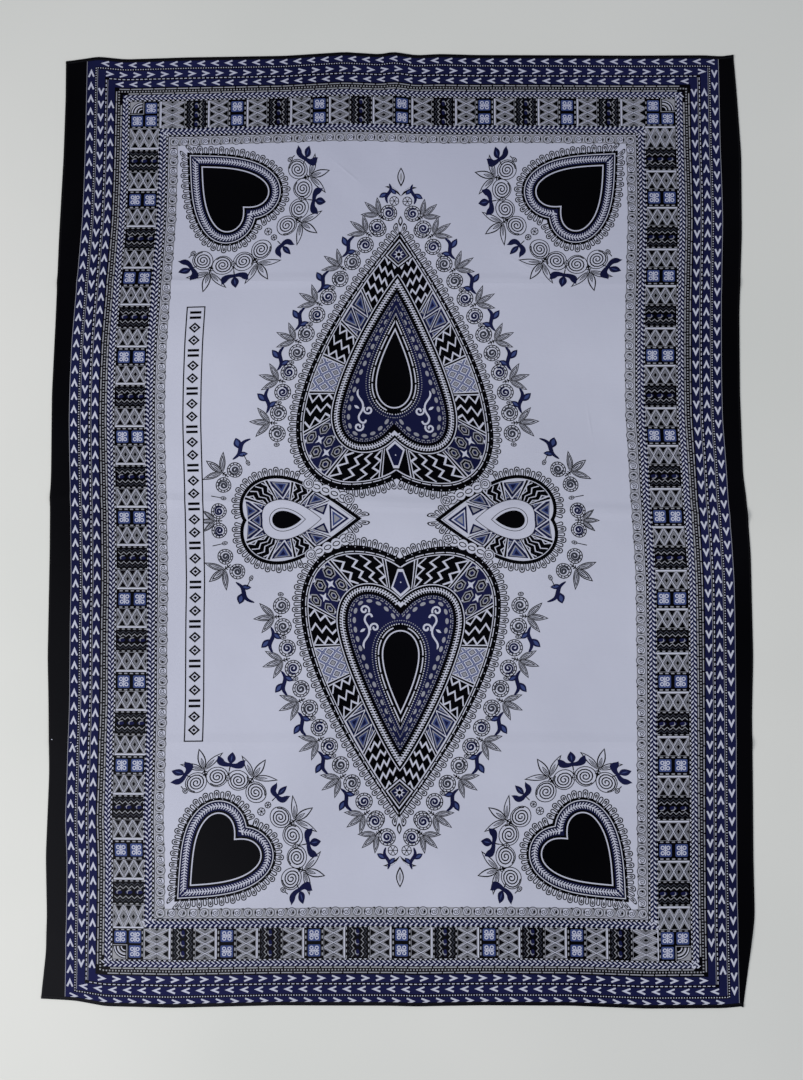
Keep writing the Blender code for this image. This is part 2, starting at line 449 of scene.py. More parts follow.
def boxes(at, ink, along, across, long, wide):
    """Boxes at every place along s and across t; one of the two may be a single number."""
    for s, t in np.broadcast(along, across):
        paint(ink, at(box(s - long / 2, t - wide / 2, s + long / 2, t + wide / 2)))


def rope(at, name, middle):
    """A braid: two rows of strokes that lean to each other, and small peaks towards the field."""
    pitch = ROPE_PITCH[name]
    for s in centred(side_half(name, middle) + ROPE_PAST[name not in LONG_SIDES], pitch):
        paint("ground", at(ROPE_STROKE + (s, middle)))
        paint("ground", at(ROPE_STROKE * (1, -1) + (s + pitch / 2, middle)))
        paint("ground", at(((s - 1.1, middle - 6.9), (s + 1.3, middle - 4.2), (s + 3.7, middle - 6.9))))


def blue_square(at):
    """Four loops tied by a bar, in bare cloth on a blue square."""
    corner = np.array(((-9.6, -8.4), (-8.2, -9.4), (8.2, -9.4), (9.6, -8.2)))
    paint("blue", at(np.vstack((corner, corner[::-1] * (1, -1)))))
    knot = spot(at, 0, 0, 0, 1.16)
    for x in (-3.5, 3.5):
        for y in (-3.7, 3.7):
            discs(spot(knot, x, y), 8, ((2.9, "ground"),))
            discs(spot(knot, x, y), 6, ((1.5, "blue"),))
    boxes(knot, "ground", 0, 0, 13.2, 1.4)
    boxes(knot, "ground", 0, 0, 1.4, 4.8)


def blue_block(at, across):
    """A black block with grey dashes along its sides and two blue squares."""
    half = BLUE_BLOCK_HALF
    paint("black", at(box(-half, 0, half, across)))
    for s in (12.5, -13.0):
        boxes(at, "grey", s, across / 2 + centred(across / 2, BLOCK_DASH_PITCH), 2.0, 4.8)
    for t in (-12.2, 12.2):
        blue_square(spot(at, -0.4, across / 2 + t))


def dark_block(at, across):
    """A black block with upright zigzags, and three navy ovals with grey hooks down its middle."""
    half = DARK_BLOCK_HALF
    paint("black", at(box(-half, 0, half, across)))
    for s in (17.2, -17.2):
        boxes(at, "grey", s, across / 2 + centred(across / 2, BLOCK_DASH_PITCH, 4.4), 1.8, 4.4)
    places = np.linspace(1.5, across - 1.5, 11)
    for s, ink in ((12.2, "charcoal"), (7.4, "grey"), (-7.4, "grey"), (-12.2, "charcoal")):
        ribbon(at, ink, np.c_[s + 2.0 * (-1.0) ** np.arange(11), places], 1.0)
    hook = np.array(((3.6, -3.8), (3.2, 0.6), (0.8, 3.0), (-2.0, 2.0)))
    for t in np.linspace(across / 6, across * 5 / 6, 3):
        paint("navy", at(disc(1, 10) * (2.9, across / 6 - 2.2) + (0, t)))
        ribbon(at, "grey", hook + (0, t), (1.0, 1.5, 1.5, 0.8))


def lattice(at, start, end, across):
    """Crossing bare bars over grey, with dark triangles at both ends and dark diamonds between."""
    inside = clipped(at, (start, 0.3), (end, across - 0.3))
    for k in (-1.5, -0.5, 0.5, 1.5):
        middle = ((start + end) / 2, across / 2 + k * LATTICE_PITCH)
        nested(inside, LATTICE_DIAMOND + middle, LATTICE_INKS)
    for k in (-1, 0, 1):
        t = across / 2 + k * LATTICE_PITCH
        for s, way in ((start, 1), (end, -1)):
            paint("black", at(((s + way * 0.6, t - 5.4), (s + way * 0.6, t + 5.4), (s + way * 9.4, t))))
        for ink, wide in (("charcoal", 2.3), ("ground", 1.15)):
            for reach in (LATTICE_PITCH / 2, -LATTICE_PITCH / 2):
                ribbon(at, ink, ((start, t + reach), (end, t - reach)), wide)


def scroll(at, s):
    """One disc of the inner band: rings, hatching over its one side, and a dark wedge beside it."""
    plane = spot(at, s, 9.0)
    discs(plane, 14, SCROLL_RINGS)
    paint("black", plane(disc(1, 8) * (1.5, 2.0) + (-2.3, 0.6)))
    for x in (0.2, 2.7, 5.2):
        ribbon(plane, "charcoal", ((x - 2.3, -3.6), (x + 0.7, 3.6)), 1.0)
        ribbon(plane, "ground", ((x - 1.2, -3.6), (x + 1.8, 3.6)), 1.2)
    paint("black", plane(((6.4, -3.4), (10.6, -6.6), (6.6, -7.2))))


def curls(at, s):
    """A bare round with a fine curl in it and a black crescent at its side, between two discs."""
    plane = spot(at, s, 9.4)
    discs(plane, 12, ((6.9, "charcoal"), (6.0, "ground")))
    ribbon(plane, "charcoal", spiral(0.9, 4.6, 1.5, 10, 60), 1.1)
    paint("black", spot(plane, 4.7, -3.6, 82)(lens(7.2, 2.2, 5)))
    ribbon(plane, "ground", ((7.6, -4.4), (8.3, 0.4), (7.0, 4.2)), 1.0)


def border_side(name):
    """One side's rows: chevrons, boxes, fine lines, dashes, ropes, and scrolls along the field."""
    at = side(name)
    long_side = name in LONG_SIDES
    chevron = CHEVRON * (1, CHEVRON_HALF[not long_side])
    for t, way, side_tip, end_tip in CHEVRON_ROWS:
        tip, points_to = (side_tip, way) if long_side else (end_tip, -way)
        reach = side_half(name, t) + CHEVRONS_PAST[not long_side]
        for s in centred(reach, CHEVRON_PITCH[name], tip):
            if abs(s - points_to * CHEVRON_LONG) < reach:
                paint("ground", at(chevron * (points_to, 1) + (s, t)))
    for t in FINE_LINES if long_side else ():
        boxes(at, "grey", 0, t, 2 * side_half(name, t), 0.7)
    for t, ink, long, wide, pitch, phase, spare in BOX_ROWS:
        boxes(at, ink, centred(side_half(name, t), pitch, phase, spare), t, long, wide)
    for middle in ROPE_MIDDLES:
        rope(at, name, middle)
    for s in centred(side_half(name, 31.3), ROPE_PITCH[name], 1.3):
        paint("ground", at(((s - 2.2, 32.3), (s + 2.2, 32.3), (s, 30.2))))
    reach = side_half(name, 9.0)
    count = round(2 * reach / SCROLL_PITCH[name])
    for s in -reach + np.arange(count) * 2 * reach / count:
        scroll(at, s)
        curls(at, s + reach / count)


def blocks_side(name):
    """One side's row of blue and dark blocks, with lattices between them and up to the corners."""
    low, high = BLOCK_BAND
    across = high - low
    pitch, most = BLOCK_PITCH[name], BLOCKS_EACH_WAY[name]
    for k in range(-most, most + 1):
        plane = spot(side(name), k * pitch, low)
        half, next_half, block = BLUE_BLOCK_HALF, DARK_BLOCK_HALF, blue_block
        if k % 2:
            half, next_half, block = DARK_BLOCK_HALF, BLUE_BLOCK_HALF, dark_block
        if k < most:
            lattice(plane, half + LATTICE_SPARE, pitch - next_half, across)
        paint("ground", plane(box(half, 0, half + 2.2, across)))
        block(plane, across)
    plane = spot(side(name), 0, low)
    last = most * pitch + DARK_BLOCK_HALF
    corner = side_half(name, low) - 0.5
    lattice(plane, -corner, -last, across)
    paint("ground", plane(box(-corner, 0, 2.2 - corner, across)))
    lattice(plane, last + LATTICE_SPARE, corner, across)


def corner_block(across_sign, along_sign):
    """Three blue squares round the field's corner, and a small fan in the frame's own corner."""
    low, high = BLOCK_BAND
    size = high - low

    def at(points):
        p = np.asarray(points, float)
        x = FIELD_ACROSS + placed("right" if across_sign > 0 else "left", low + p[:, 0])
        y = FIELD_ALONG + placed("top" if along_sign > 0 else "bottom", low + p[:, 1])
        return np.c_[across_sign * x, along_sign * y]

    paint("black", at(box(0, 0, size, size)))
    for x, y in ((13.5, 13.5), (13.5, 36.5), (36.5, 13.5)):
        blue_square(spot(at, x, y, 90))
    for t in size / 2 + centred(size / 2, BLOCK_DASH_PITCH):
        boxes(at, "grey", 2.0, t, 1.6, 4.4)
        boxes(at, "grey", t, 2.0, 4.4, 1.6)
    for start, ink in ((25.5, "grey"), (26.6, "black"), (FAN_CORNER, "grey")):
        paint(ink, at(box(start, start, size, size)))
    arc = np.radians(np.linspace(0, 90, 8))
    quarter_disc = np.vstack(((0, 0), np.c_[np.cos(arc), np.sin(arc)]))
    for radius, ink in FAN_RINGS:
        paint(ink, at(FAN_CORNER + radius * quarter_disc))


def border():
    """The whole frame, from the cloth's edge to the field."""
    paint("black", box(LEFT_CUT, BOTTOM_CUT, RIGHT_CUT, TOP_CUT))
    for start, ink in FRAME_RINGS:
        paint(ink, frame_box(start))
        if start == BLOCK_BAND[1]:
            for name in SIDES:
                blocks_side(name)
            for signs in QUARTERS:
                corner_block(*signs)
    for name in SIDES:
        border_side(name)


# --- The field's motifs ---
# half outlines, tip to notch, as control points: x from the axis, y from the tip
CORNER_HEART = (
    (0, 0.5), (23, 26), (51.2, 58), (51.2, 89), (51.2, 104.5), (40.6, 113), (29, 113), (17.4, 113),
    (8.7, 105.5), (0, 94.5),
)
# how far out from the heart each of its rings starts
HEART_RINGS = (
    (20.2, "ground"), (18.7, "black"), (17.6, "navy"), (5.2, "black"), (2.0, "ground"), (0, "black"),
)
CORNER_TIP = (323.0, 567.0)
# one stroke's outlines in the heart's ring, and in the teardrop's
FEATHERS = (
    ("ground", ((-2.2, 4.3), (2.2, 4.3), (2.2, 5.5), (-2.2, 5.5))),
    ("ground", ((-1.9, 0.6), (-0.4, 0.6), (2.5, 4.6), (0.1, 4.6))),
    ("ground", ((-2.6, 9.4), (-1.1, 9.4), (2.2, 5.2), (-0.2, 5.2))),
)
COMB = (
    ("black", ((-1.6, 3.2), (0.8, 3.0), (2.0, 9.0), (1.2, 9.0))),
    ("ground", ((-1.0, -1.8), (0.2, -1.8), (1.6, 1.8), (-0.4, 1.8))),
)
OVAL = disc(1, 9) * (4.8, 2.7) + (0, 2.2)
# how far round from the heart's notch the corner motif's parts stand, and how far a tulip is turned
CORNER_SPIRALS = (28.0, 58.0, 88.0, 118.0)
CORNER_SPRAYS = (43.0, 103.0)
CORNER_BUDS = (73.0, 137.0)
CORNER_TULIPS = ((73.0, 90.0), (125.0, 118.0))
# from the heart's tip, radius
CORNER_ROSETTES = ((155.0, 6.4), (169.0, 5.2))
# the big teardrops, y from the point of the black edging
BIG_EDGE = (
    (0, -3), (50, 66), (154, 208), (155, 325), (155, 373), (126, 416), (74, 417), (46, 417), (20, 408),
    (0, 397),
)
BIG_PANELS = (
    (0, 9), (45, 73), (143, 215), (143, 325), (143, 366), (120, 403), (72, 403), (45, 403), (18, 396),
    (0, 382),
)
BIG_INNER = (
    (0, 68), (28, 103), (99, 245), (99, 300), (99, 335), (80, 357), (50, 357), (32, 357), (14, 349),
    (0, 334),
)
BIG_DROP = ((0, 160), (14, 190), (27, 222), (27, 247), (27, 268), (15, 283), (0, 283))
BIG_TIP = 460.0  # from the medallion's middle
BIG_WIDTH = 41.0  # of the ring of panels, in its own measure
KITE = np.array(((0, 10), (21, 38), (0, 56), (-21, 38)), float)
KITE_INKS = ((1.14, "black"), (1.0, "ground"), (0.87, "black"), (0.7, "grey"), (0.62, "navy"))
INNER_RINGS = (
    (1.6, "black"), (0.4, "ground"), (-1.2, "black"), (-4.6, "ground"), (-9.6, "black"), (-17.0, "navy"),
)
# the small teardrops at both sides, y from the panels' tip
SMALL_PANELS = (
    (0, 0), (30, 40), (64, 85), (64, 122), (64, 150), (46, 173), (20, 173), (12, 173), (5, 171), (0, 167),
)
SMALL_WHITE = (
    (0, 53), (18, 72), (31, 95), (31, 114), (31, 125), (27, 136), (19, 141), (12, 145), (5, 144.5),
    (0, 144),
)
SMALL_DROP = ((0, 83), (9, 92), (14, 104), (14, 113), (14, 122), (8, 129), (0, 129))
SMALL_TIP = 68.0  # from the medallion's axis
SMALL_MIDDLE = -7.0
SMALL_WIDTH = 30.0
# how far round from the notch the parts of a small teardrop's fringe stand; a spiral's ink
SMALL_SPIRALS = ((15.5, "navy"), (58.0, "charcoal"), (88.0, "charcoal"))
SMALL_BUD = 37.0
SMALL_SPRAY = 73.0
SMALL_SPRIG = 112.0
# where each panel ends, as a share of the way from tip to notch, and what fills it
BIG_PANEL_ROW = (
    (0.185, "apex"), (0.30, "peaks"), (0.415, "zigzag"), (0.53, "diamonds"),
    (0.645, "zigzag"), (0.79, "rosettes"), (0.945, "zigzag"), (1.0, "wedge"),
)
SMALL_PANEL_ROW = (
    (0.2, "apex"), (0.33, "peaks"), (0.475, "fine zigzag"), (0.65, "peaks"), (0.83, "fine zigzag"),
    (1.0, "peaks"),
)
PEAK_INKS = ((0.94, "navy"), (0.66, "grey"), (0.5, "blue"), (0.26, "navy"))
DIAMOND_INKS = ((0.97, "blue"), (0.8, "ground"), (0.56, "navy"), (0.42, "grey"))
ROSETTE_INKS = ((0.86, "grey"), (0.7, "black"), (0.46, "grey"), (0.28, "navy"))
# the finial's spirals: from the axis, from the point, first turn, flip
FINIAL_SPIRALS = ((19.0, -32, 90, 1), (37.0, -8, 150, -1))
WING = ((0, -60), (4, -70), (14, -80), (26, -75), (18, -73), (9, -68), (0, -60))
WING_HOLLOW = ((4, -67), (9, -73), (15, -77), (21, -75), (15, -74), (9, -71), (4, -67))
# the leaves on the axis: length, width, foot from the point, ink
FINIAL_LEAVES = (
    (32, 12, -108, "black"), (25, 8.6, -105, "ground"), (16, 4.2, -100, "grey"),
    (18, 7.4, -28, "black"), (11, 3.6, -25, "ground"),
)
BEAD_PLACES = (0.2, 0.42, 0.64, 0.86)  # as shares of the chain's length
# in one quarter of the medallion, from its middle: the chain of beads, and the line that has no loops by it
BEADS_START = np.array((138.0, 56.0))
BEADS_END = np.array((76.0, 30.0))
CHAIN_START = np.array((76.0, 62.0))
CHAIN_RUN = np.array((68.0, -38.0))
CHAIN_CLEAR = 14.0
TULIP_LEAF = (
    (-3, -0.5), (-6, 8), (-3, 17), (5, 17), (9, 17), (12, 15), (15, 16), (12, 11), (9, 9), (6, 8),
    (3, 6), (3, 3), (3, 0.6),
)
VINE_STEM = (
    (-8, -44), (2, -34), (-12, -26), (-6, -14), (-2, -6), (6, -6), (6, 2), (6, 10), (-2, 12), (-4, 6),
)
FINGER_LINE = 1.6
FIELD_SPARE = 3.0
FRINGE_SPIRAL = 13.4
FRINGE_UNITS = 6
FRINGE_START = 76.0
FRINGE_PITCH = 66.8


def ringed_spiral(at, radius, ink, start, flip=1):
    """A spiral in a ring of two fine lines with ticks between."""
    discs(at, 20, ((radius, "black"), (radius - 1.4, "ground")))
    for turn in range(0, 360, 30):
        ribbon(spot(at, 0, 0, turn), "black", ((radius - 3.9, 0), (radius - 0.4, 0)), 1.4)
    discs(at, 18, ((radius - 3.4, "black"), (radius - 4.7, "ground")))
    line = spiral(0.8, radius - 5.2, 1.6, 12, start)
    ribbon(spot(at, 0, 0, flip=flip), ink, line, np.linspace(4.4, 2.1, len(line)))


def line_spiral(at, radius, start, flip):
    """A close spiral line in a round outline."""
    discs(at, 22, ((radius, "black"), (radius - 1.2, "ground")))
    ribbon(spot(at, 0, 0, flip=flip), "black", spiral(1.2, radius - 2.0, 2.9, 14, start), 1.7)


def outlined_leaf(at, length, width, heart):
    """A pointed leaf drawn with a line, and in it a smaller one at the heart share of its size."""
    long, wide = length * heart, width * heart
    for leaf_length, leaf_width, steps, start, ink in (
        (length, width, 8, 2.0, "black"), (length - 4.4, width - 2.5, 8, 3.6, "ground"),
        (long, wide * 0.86, 7, 4.6, "black"), (long * 0.78, wide * 0.5, 6, 6.2, "ground"),
        (long * 0.56, wide * 0.24, 5, 7.4, "charcoal"),
    ):
        paint(ink, at(lens(leaf_length, leaf_width, steps, start, 0.42)))


def spray(at, length=27.0, width=8.2, heart=0.74):
    """Three leaves from a thorny node, opening along x."""
    for turn, share in ((40, 0.92), (-40, 0.92), (0, 1.0)):
        outlined_leaf(spot(at, 0, 0, turn), length * share, width, heart)
    ribbon(at, "black", ((-10, 0), (5, 0)), 1.7)
    for x in (-3.5, 0.5):
        ribbon(at, "black", ((x - 2.4, 3.0), (x, 0), (x - 2.4, -3.0)), 1.4)


def sprig(at):
    """A solid twig: a wavy stalk that thins at both ends, with a leaf on either side."""
    y = np.linspace(-19, 19, 15)
    stalk = np.c_[3.0 * np.sin(y * math.pi / 17), y]
    ribbon(at, "navy", stalk, 1.6 + 4.6 * np.cos(y * math.pi / 38) ** 0.6)
    for x, foot, turn, length in ((1.5, -1.0, 38, 19.0), (-1.5, -11.0, 142, 16.5)):
        leaf = spot(at, x, foot, turn)
        paint("navy", leaf(lens(length, length * 0.52, 7)))
        paint("blue", leaf(lens(length * 0.62, length * 0.24, 6, length * 0.22)))


def tulip(at):
    """A solid flower along x: a pointed bud between two leaves that curl forward, on a thin stem."""
    ribbon(at, "black", ((-11, 0), (3, 0)), 1.5)
    paint("navy", at(lens(21.0, 9.6, 8, 1.5, 0.46)))
    paint("blue", at(lens(11.0, 1.5, 5, 6.0)))
    for flip in (1, -1):
        paint("navy", at(curve(TULIP_LEAF, 6) * (1, flip)))


def bud(at, length):
    """A round bud on a fine stalk along x."""
    ribbon(at, "black", ((0, 0), (length, 0)), 1.2)
    outlined(spot(at, length + 3.6, 0), disc(1, 10) * (4.8, 3.4), 1.2)
    ribbon(at, "black", ((length + 0.5, 0), (length + 6.5, 0)), 1.0)
    ribbon(at, "black", ((length + 3.6, -2.2), (length + 3.6, 2.2)), 1.0)


def rosette(at, radius):
    """A small round flower: six spokes in a ring."""
    outlined(at, disc(radius, 12), 1.2)
    for turn in (0, 60, 120):
        ribbon(spot(at, 0, 0, turn), "black", ((0.8 - radius, 0), (radius - 0.8, 0)), 1.0)


def finger(at, length, width, seed):
    """One loop of the edging: a rounded finger drawn with a line, with a dark seed in it or plain."""
    half = width / 2
    arc = np.radians(np.linspace(0, 180, 7))
    for line, ink in ((0, "black"), (FINGER_LINE, "ground")):
        end = np.c_[(half - line) * np.cos(arc), length - half + (half - line) * np.sin(arc)]
        foot = half * 0.8 - line
        paint(ink, at(np.vstack(((foot, -1.5), end, (-foot, -1.5)))))
    if seed:
        drop = lens(length * 0.56, width * 0.46, 6, 0, 0.6)[:, ::-1] + (0, length * 0.2)
        paint("black", at(drop))
        paint("grey", at((drop - (0, length * 0.5)) * 0.4 + (0, length * 0.5)))


def edging(plane, inner_edge, pitch, length, keep):
    """Loops all round an outline, every other one shorter and plain. keep says where loops may stand."""
    ring = Ring(inner_edge, grown(inner_edge, length), length)
    count = int((ring.length - 6) / pitch)
    for at in two_sides(plane, ring):
        for i in range(count):
            s = 6 + (i + 0.5) * (ring.length - 8) / count
            seed = i % 2 == 0
            if keep(at(((s, 4.0),))[0]):
                long, wide = (1.0, 1.04) if seed else (0.8, 0.78)
                finger(spot(at, s, 0), length * long, pitch * wide, seed)


def row_round(plane, ring, first, spare, pitch, strokes):
    """The same strokes again and again round a ring, from first up to spare before its end."""
    for at in two_sides(plane, ring):
        for s in np.arange(first, ring.length - spare, pitch):
            for ink, stroke in strokes:
                paint(ink, at(np.add(stroke, (s, 0))))


def dots_round(plane, half, away, pitch, radius, ink):
    ring = Ring(grown(half, away - 1), grown(half, away + 1), 2)
    row_round(plane, ring, pitch / 2, pitch / 3, pitch, ((ink, disc(radius, 6, 0, 1)),))


def dashes_round(plane, half, near, far, dash, pitch, ink):
    """A dashed line round an outline, from near to far outside it."""
    ring = Ring(grown(half, near), grown(half, far), far - near)
    for at in two_sides(plane, ring):
        for s in np.arange(2.0, ring.length - dash * 0.7, pitch):
            paint(ink, at(cell(s, min(s + dash, ring.length), far - near, 5)))


def in_field(point):
    """True where a corner motif's loops stay clear of the border."""
    return abs(point[0]) < FIELD_ACROSS - FIELD_SPARE and abs(point[1]) < FIELD_ALONG - FIELD_SPARE


def from_middle(point):
    return abs(point[0] - OFF_AXIS), abs(point[1] - SMALL_MIDDLE)


def clear_of_chain(point):
    """True where a big teardrop's loops stay clear of the small teardrops and their beads."""
    x, y = from_middle(point)
    share = np.clip(np.dot((x, y) - CHAIN_START, CHAIN_RUN) / np.dot(CHAIN_RUN, CHAIN_RUN), 0, 1)
    near = np.hypot(*((x, y) - CHAIN_START - CHAIN_RUN * share))
    return near >= CHAIN_CLEAR and not (128 < x < 215 and y < 62)


def clear_of_big(point):
    """True where a small teardrop's loops stay clear of the big ones and the beads."""
    x, y = from_middle(point)
    return not 66 < x < 150 or y <= 20 or (x > 140 and y < 58)


def corner_motif(across_sign, along_sign):
    """A black heart with a feathered ring and loops, and spirals with sprays round its notched end."""
    inwards = math.degrees(math.atan2(-along_sign, -across_sign))
    plane = spot(flat, CORNER_TIP[0] * across_sign, CORNER_TIP[1] * along_sign, inwards - 90)
    heart = curve(CORNER_HEART, 22)
    fills(plane, heart, ((24.4, "black"),))
    edging(plane, grown(heart, 24.0), pitch=8.4, length=12.5, keep=in_field)
    fills(plane, heart, ((24.0, "black"),))
    dots_round(plane, heart, away=22.6, pitch=14.0, radius=0.75, ink="ground")
    fills(plane, heart, HEART_RINGS)
    feathered = Ring(grown(heart, 6.6), grown(heart, 16.2), 9.2)
    row_round(plane, feathered, first=4.0, spare=2, pitch=4.3, strokes=FEATHERS)
    stand = Ring(grown(heart, 47.0), grown(heart, 49.0), 2)
    for at in two_sides(plane, stand):
        for i, from_notch in enumerate(CORNER_SPIRALS):
            line_spiral(spot(at, stand.length - from_notch, 9.0), 15.6, 90 * i, 1 if i % 2 else -1)
        for from_notch in CORNER_SPRAYS:
            spray(spot(at, stand.length - from_notch, 21.0, 90), 34.0, 8.4, 0.5)
        for from_notch in CORNER_BUDS:
            bud(spot(at, stand.length - from_notch, 18.0, -90), 6.0)
        for from_notch, turn in CORNER_TULIPS:
            tulip(spot(at, stand.length - from_notch, 28.5, turn, 0.88))
    for y, radius in CORNER_ROSETTES:
        rosette(spot(plane, 0, y), radius)
    tulip(spot(plane, 0, 188, 90, 0.95))


def zigzags(at, start, end, width, teeth, pitch, line):
    """Bare zigzags across the ring, each a little finer outwards."""
    t = np.linspace(1.2, width - 1.2, teeth + 1)
    rows = max(2, round((end - start) / pitch))
    step = (end - start) / rows
    for i in range(rows):
        s = start + (i + 0.5) * step + min(step * 0.3, 5.4) * (-1.0) ** np.arange(teeth + 1)
        ribbon(at, "ground", np.c_[s, t], np.linspace(line, 0.8 * line, teeth + 1))


def peaks(at, start, end, width):
    """Triangles side by side, every other one upside down."""
    count = max(1, round((end - start) / 30))
    half_step = (end - start) / count / 2
    for i in range(-1, 2 * count):
        foot, top = (0.6, width - 2.4) if i % 2 else (width - 0.6, 2.4)
        s = start + np.array((i, i + 2, i + 1)) * half_step
        nested(clipped(at, (start, 0), (end, width)), np.c_[s, (foot, foot, top)], PEAK_INKS)


def diamonds(at, start, end, width):
    """A net of ringed diamonds, four across the ring and cut off at the panel's edges."""
    rows = max(2, round((end - start) / 20))
    reach = np.array(((end - start) / rows / 2, width / 4))
    for i in range(2 * rows + 1):
        for j in range(1 - i % 2, 5, 2):
            diamond = np.array(((i - 1, j), (i, j - 1), (i + 1, j), (i, j + 1))) * reach + (start, 0)
            nested(clipped(at, (start, 0), (end, width)), diamond, DIAMOND_INKS)


def rosettes(at, start, end, width):
    """Two rows of six-sided flowers, with stars between them and small peaks along both edges."""
    rows = max(2, round((end - start) / 24))
    step = (end - start) / rows
    for i in range(rows):
        for t in (width / 4, width * 3 / 4):
            flower = disc(min(step, width / 2) / 2, 6, start + (i + 0.5) * step, t)
            nested(at, flower, ROSETTE_INKS)
    for i in range(1, rows):
        paint("ground", at(star(4, 7.5, 2.6) + (start + i * step, width / 2)))
    for i in range(rows):
        s = start + (i + 0.5) * step
        for t, top in ((0.4, 3.6), (width - 0.4, width - 3.6)):
            paint("ground", at(((s - 3.5, t), (s, top), (s + 3.5, t))))


# what lies under a panel's drawing, what draws it, and its further measures: teeth, pitch, line
PANEL_FILLS = {
    "zigzag": ("black", zigzags, (5, 17, 2.9)),
    "fine zigzag": ("black", zigzags, (4, 8.5, 1.7)),
    "peaks": ("ground", peaks, ()),
    "diamonds": ("ground", diamonds, ()),
    "rosettes": ("navy", rosettes, ()),
}
# the three lines where one panel ends and the next starts: from there, ink, width
PANEL_LINES = ((0, "black", 2.8), (-2.2, "ground", 1.8), (2.2, "ground", 1.8))


def panels_round(plane, outer, inner, width, row):
    """The ring of panels between a teardrop's two outlines."""
    ring = Ring(inner, outer, width)
    for at in two_sides(plane, ring):
        start = 0.0
        for share, kind in row:
            end = share * ring.length
            if kind in PANEL_FILLS:
                ink, fill, measures = PANEL_FILLS[kind]
                paint(ink, at(cell(start, end, width, 7)))
                fill(at, start, end, width, *measures)
            if kind != "apex":
                for away, ink, wide in PANEL_LINES:
                    boxes(at, ink, start + away, width / 2, wide, width)
            start = end
    return ring


def vine(at):
    """A plain curling stem in one lobe, with a curl on either side and a leaf."""
    stem = curve(VINE_STEM, 8)
    ribbon(at, "ground", stem, np.r_[0.9, np.full(len(stem) - 1, 3.1)])
    for x, y, start, flip in ((-13.0, -8.0, -20, -1), (10.5, 13.0, 120, 1)):
        ribbon(spot(at, x, y, 0, 1, flip), "ground", spiral(1.4, 7.8, 1.2, 12, start), 3.0)
    paint("ground", spot(at, 0, -14, -50)(lens(10, 4.4, 6)))


def big_plane(along_sign):
    return spot(flat, OFF_AXIS, MIDDLE + along_sign * BIG_TIP, 90 + 90 * along_sign)


def small_plane(across_sign):
    return spot(flat, OFF_AXIS + across_sign * SMALL_TIP, SMALL_MIDDLE, -90 * across_sign)


def apex_zigzags(plane, outer):
    """Bare zigzags over a big teardrop's point, each from side to side of its first curve."""
    first_curve = outer[:FINE_STEPS + 1]
    for top in np.arange(30.0, 130.0, 13.5):
        reach = np.interp(top, first_curve[:, 1], first_curve[:, 0]) - 2.0
        x = np.linspace(-reach, reach, 4 * max(1, round(reach / 11)) + 1)
        teeth = 10.0 * (np.arange(len(x)) % 2) - 5.0
        ribbon(plane, "ground", np.c_[x, top + 0.55 * (reach - np.abs(x)) + teeth], 2.7)


def kite_and_wedge(plane, outer, inner):
    """A star in a kite at a big teardrop's point, and a navy wedge in its notch."""
    nested(plane, KITE, KITE_INKS)
    paint("ground", plane(star(8, 8.8, 4.0) + KITE.mean(axis=0)))
    paint("black", plane(disc(3.2, 10) + KITE.mean(axis=0)))
    low, high = inner[-1, 1] + 4, outer[-1, 1] - 3
    wedge = np.array(((0, low), (14, low + 13), (4, high), (-4, high), (-14, low + 13)))
    nested(plane, wedge, ((1.2, "black"), (1.08, "ground"), (0.84, "navy")))
    paint("ground", plane(disc(1.2, 6) + wedge.mean(axis=0)))


def big_teardrop(along_sign):
    """A black edging, a ring of panels, and a navy heart with a vine in each lobe and a black drop."""
    plane = big_plane(along_sign)
    edge, outer, inner, drop = map(curve, (BIG_EDGE, BIG_PANELS, BIG_INNER, BIG_DROP))
    fills(plane, edge, ((0, "black"),))
    edging(plane, edge, pitch=8.6, length=14.0, keep=clear_of_chain)
    fills(plane, edge, ((0, "black"),))
    dots_round(plane, edge, away=-2.6, pitch=13.0, radius=0.9, ink="ground")
    dashes_round(plane, outer, near=3.4, far=4.9, dash=14.0, pitch=16.2, ink="ground")
    fills(plane, outer, ((1.4, "ground"), (-0.6, "black")))
    apex_zigzags(plane, outer)
    panels_round(plane, outer, inner, BIG_WIDTH, BIG_PANEL_ROW)
    kite_and_wedge(plane, outer, inner)
    fills(plane, inner, INNER_RINGS)
    combed = Ring(grown(inner, -11.0), grown(inner, -3.2), 7.8)
    row_round(plane, combed, first=4.0, spare=3, pitch=4.4, strokes=COMB)
    dots_round(plane, inner, away=-18.4, pitch=3.9, radius=1.0, ink="grey")
    dashes_round(plane, inner, near=-22.0, far=-20.6, dash=5.0, pitch=8.2, ink="grey")
    ovals = Ring(grown(inner, -29.5), grown(inner, -23.5), 6)
    row_round(plane, ovals, first=18.0, spare=8, pitch=15.0, strokes=(("grey", OVAL),))
    fills(plane, drop, ((19.0, "navy"), (13.0, "black")))
    dots_round(plane, drop, away=17.0, pitch=3.8, radius=0.95, ink="grey")
    dots_round(plane, drop, away=11.8, pitch=3.8, radius=1.15, ink="ground")
    dashes_round(plane, drop, near=6.4, far=8.4, dash=24.0, pitch=27.0, ink="ground")
    fills(plane, drop, ((2.2, "ground"), (0, "black")))
    for flip in (1, -1):
        vine(spot(mirrored(plane, flip), 50, 300, 18))


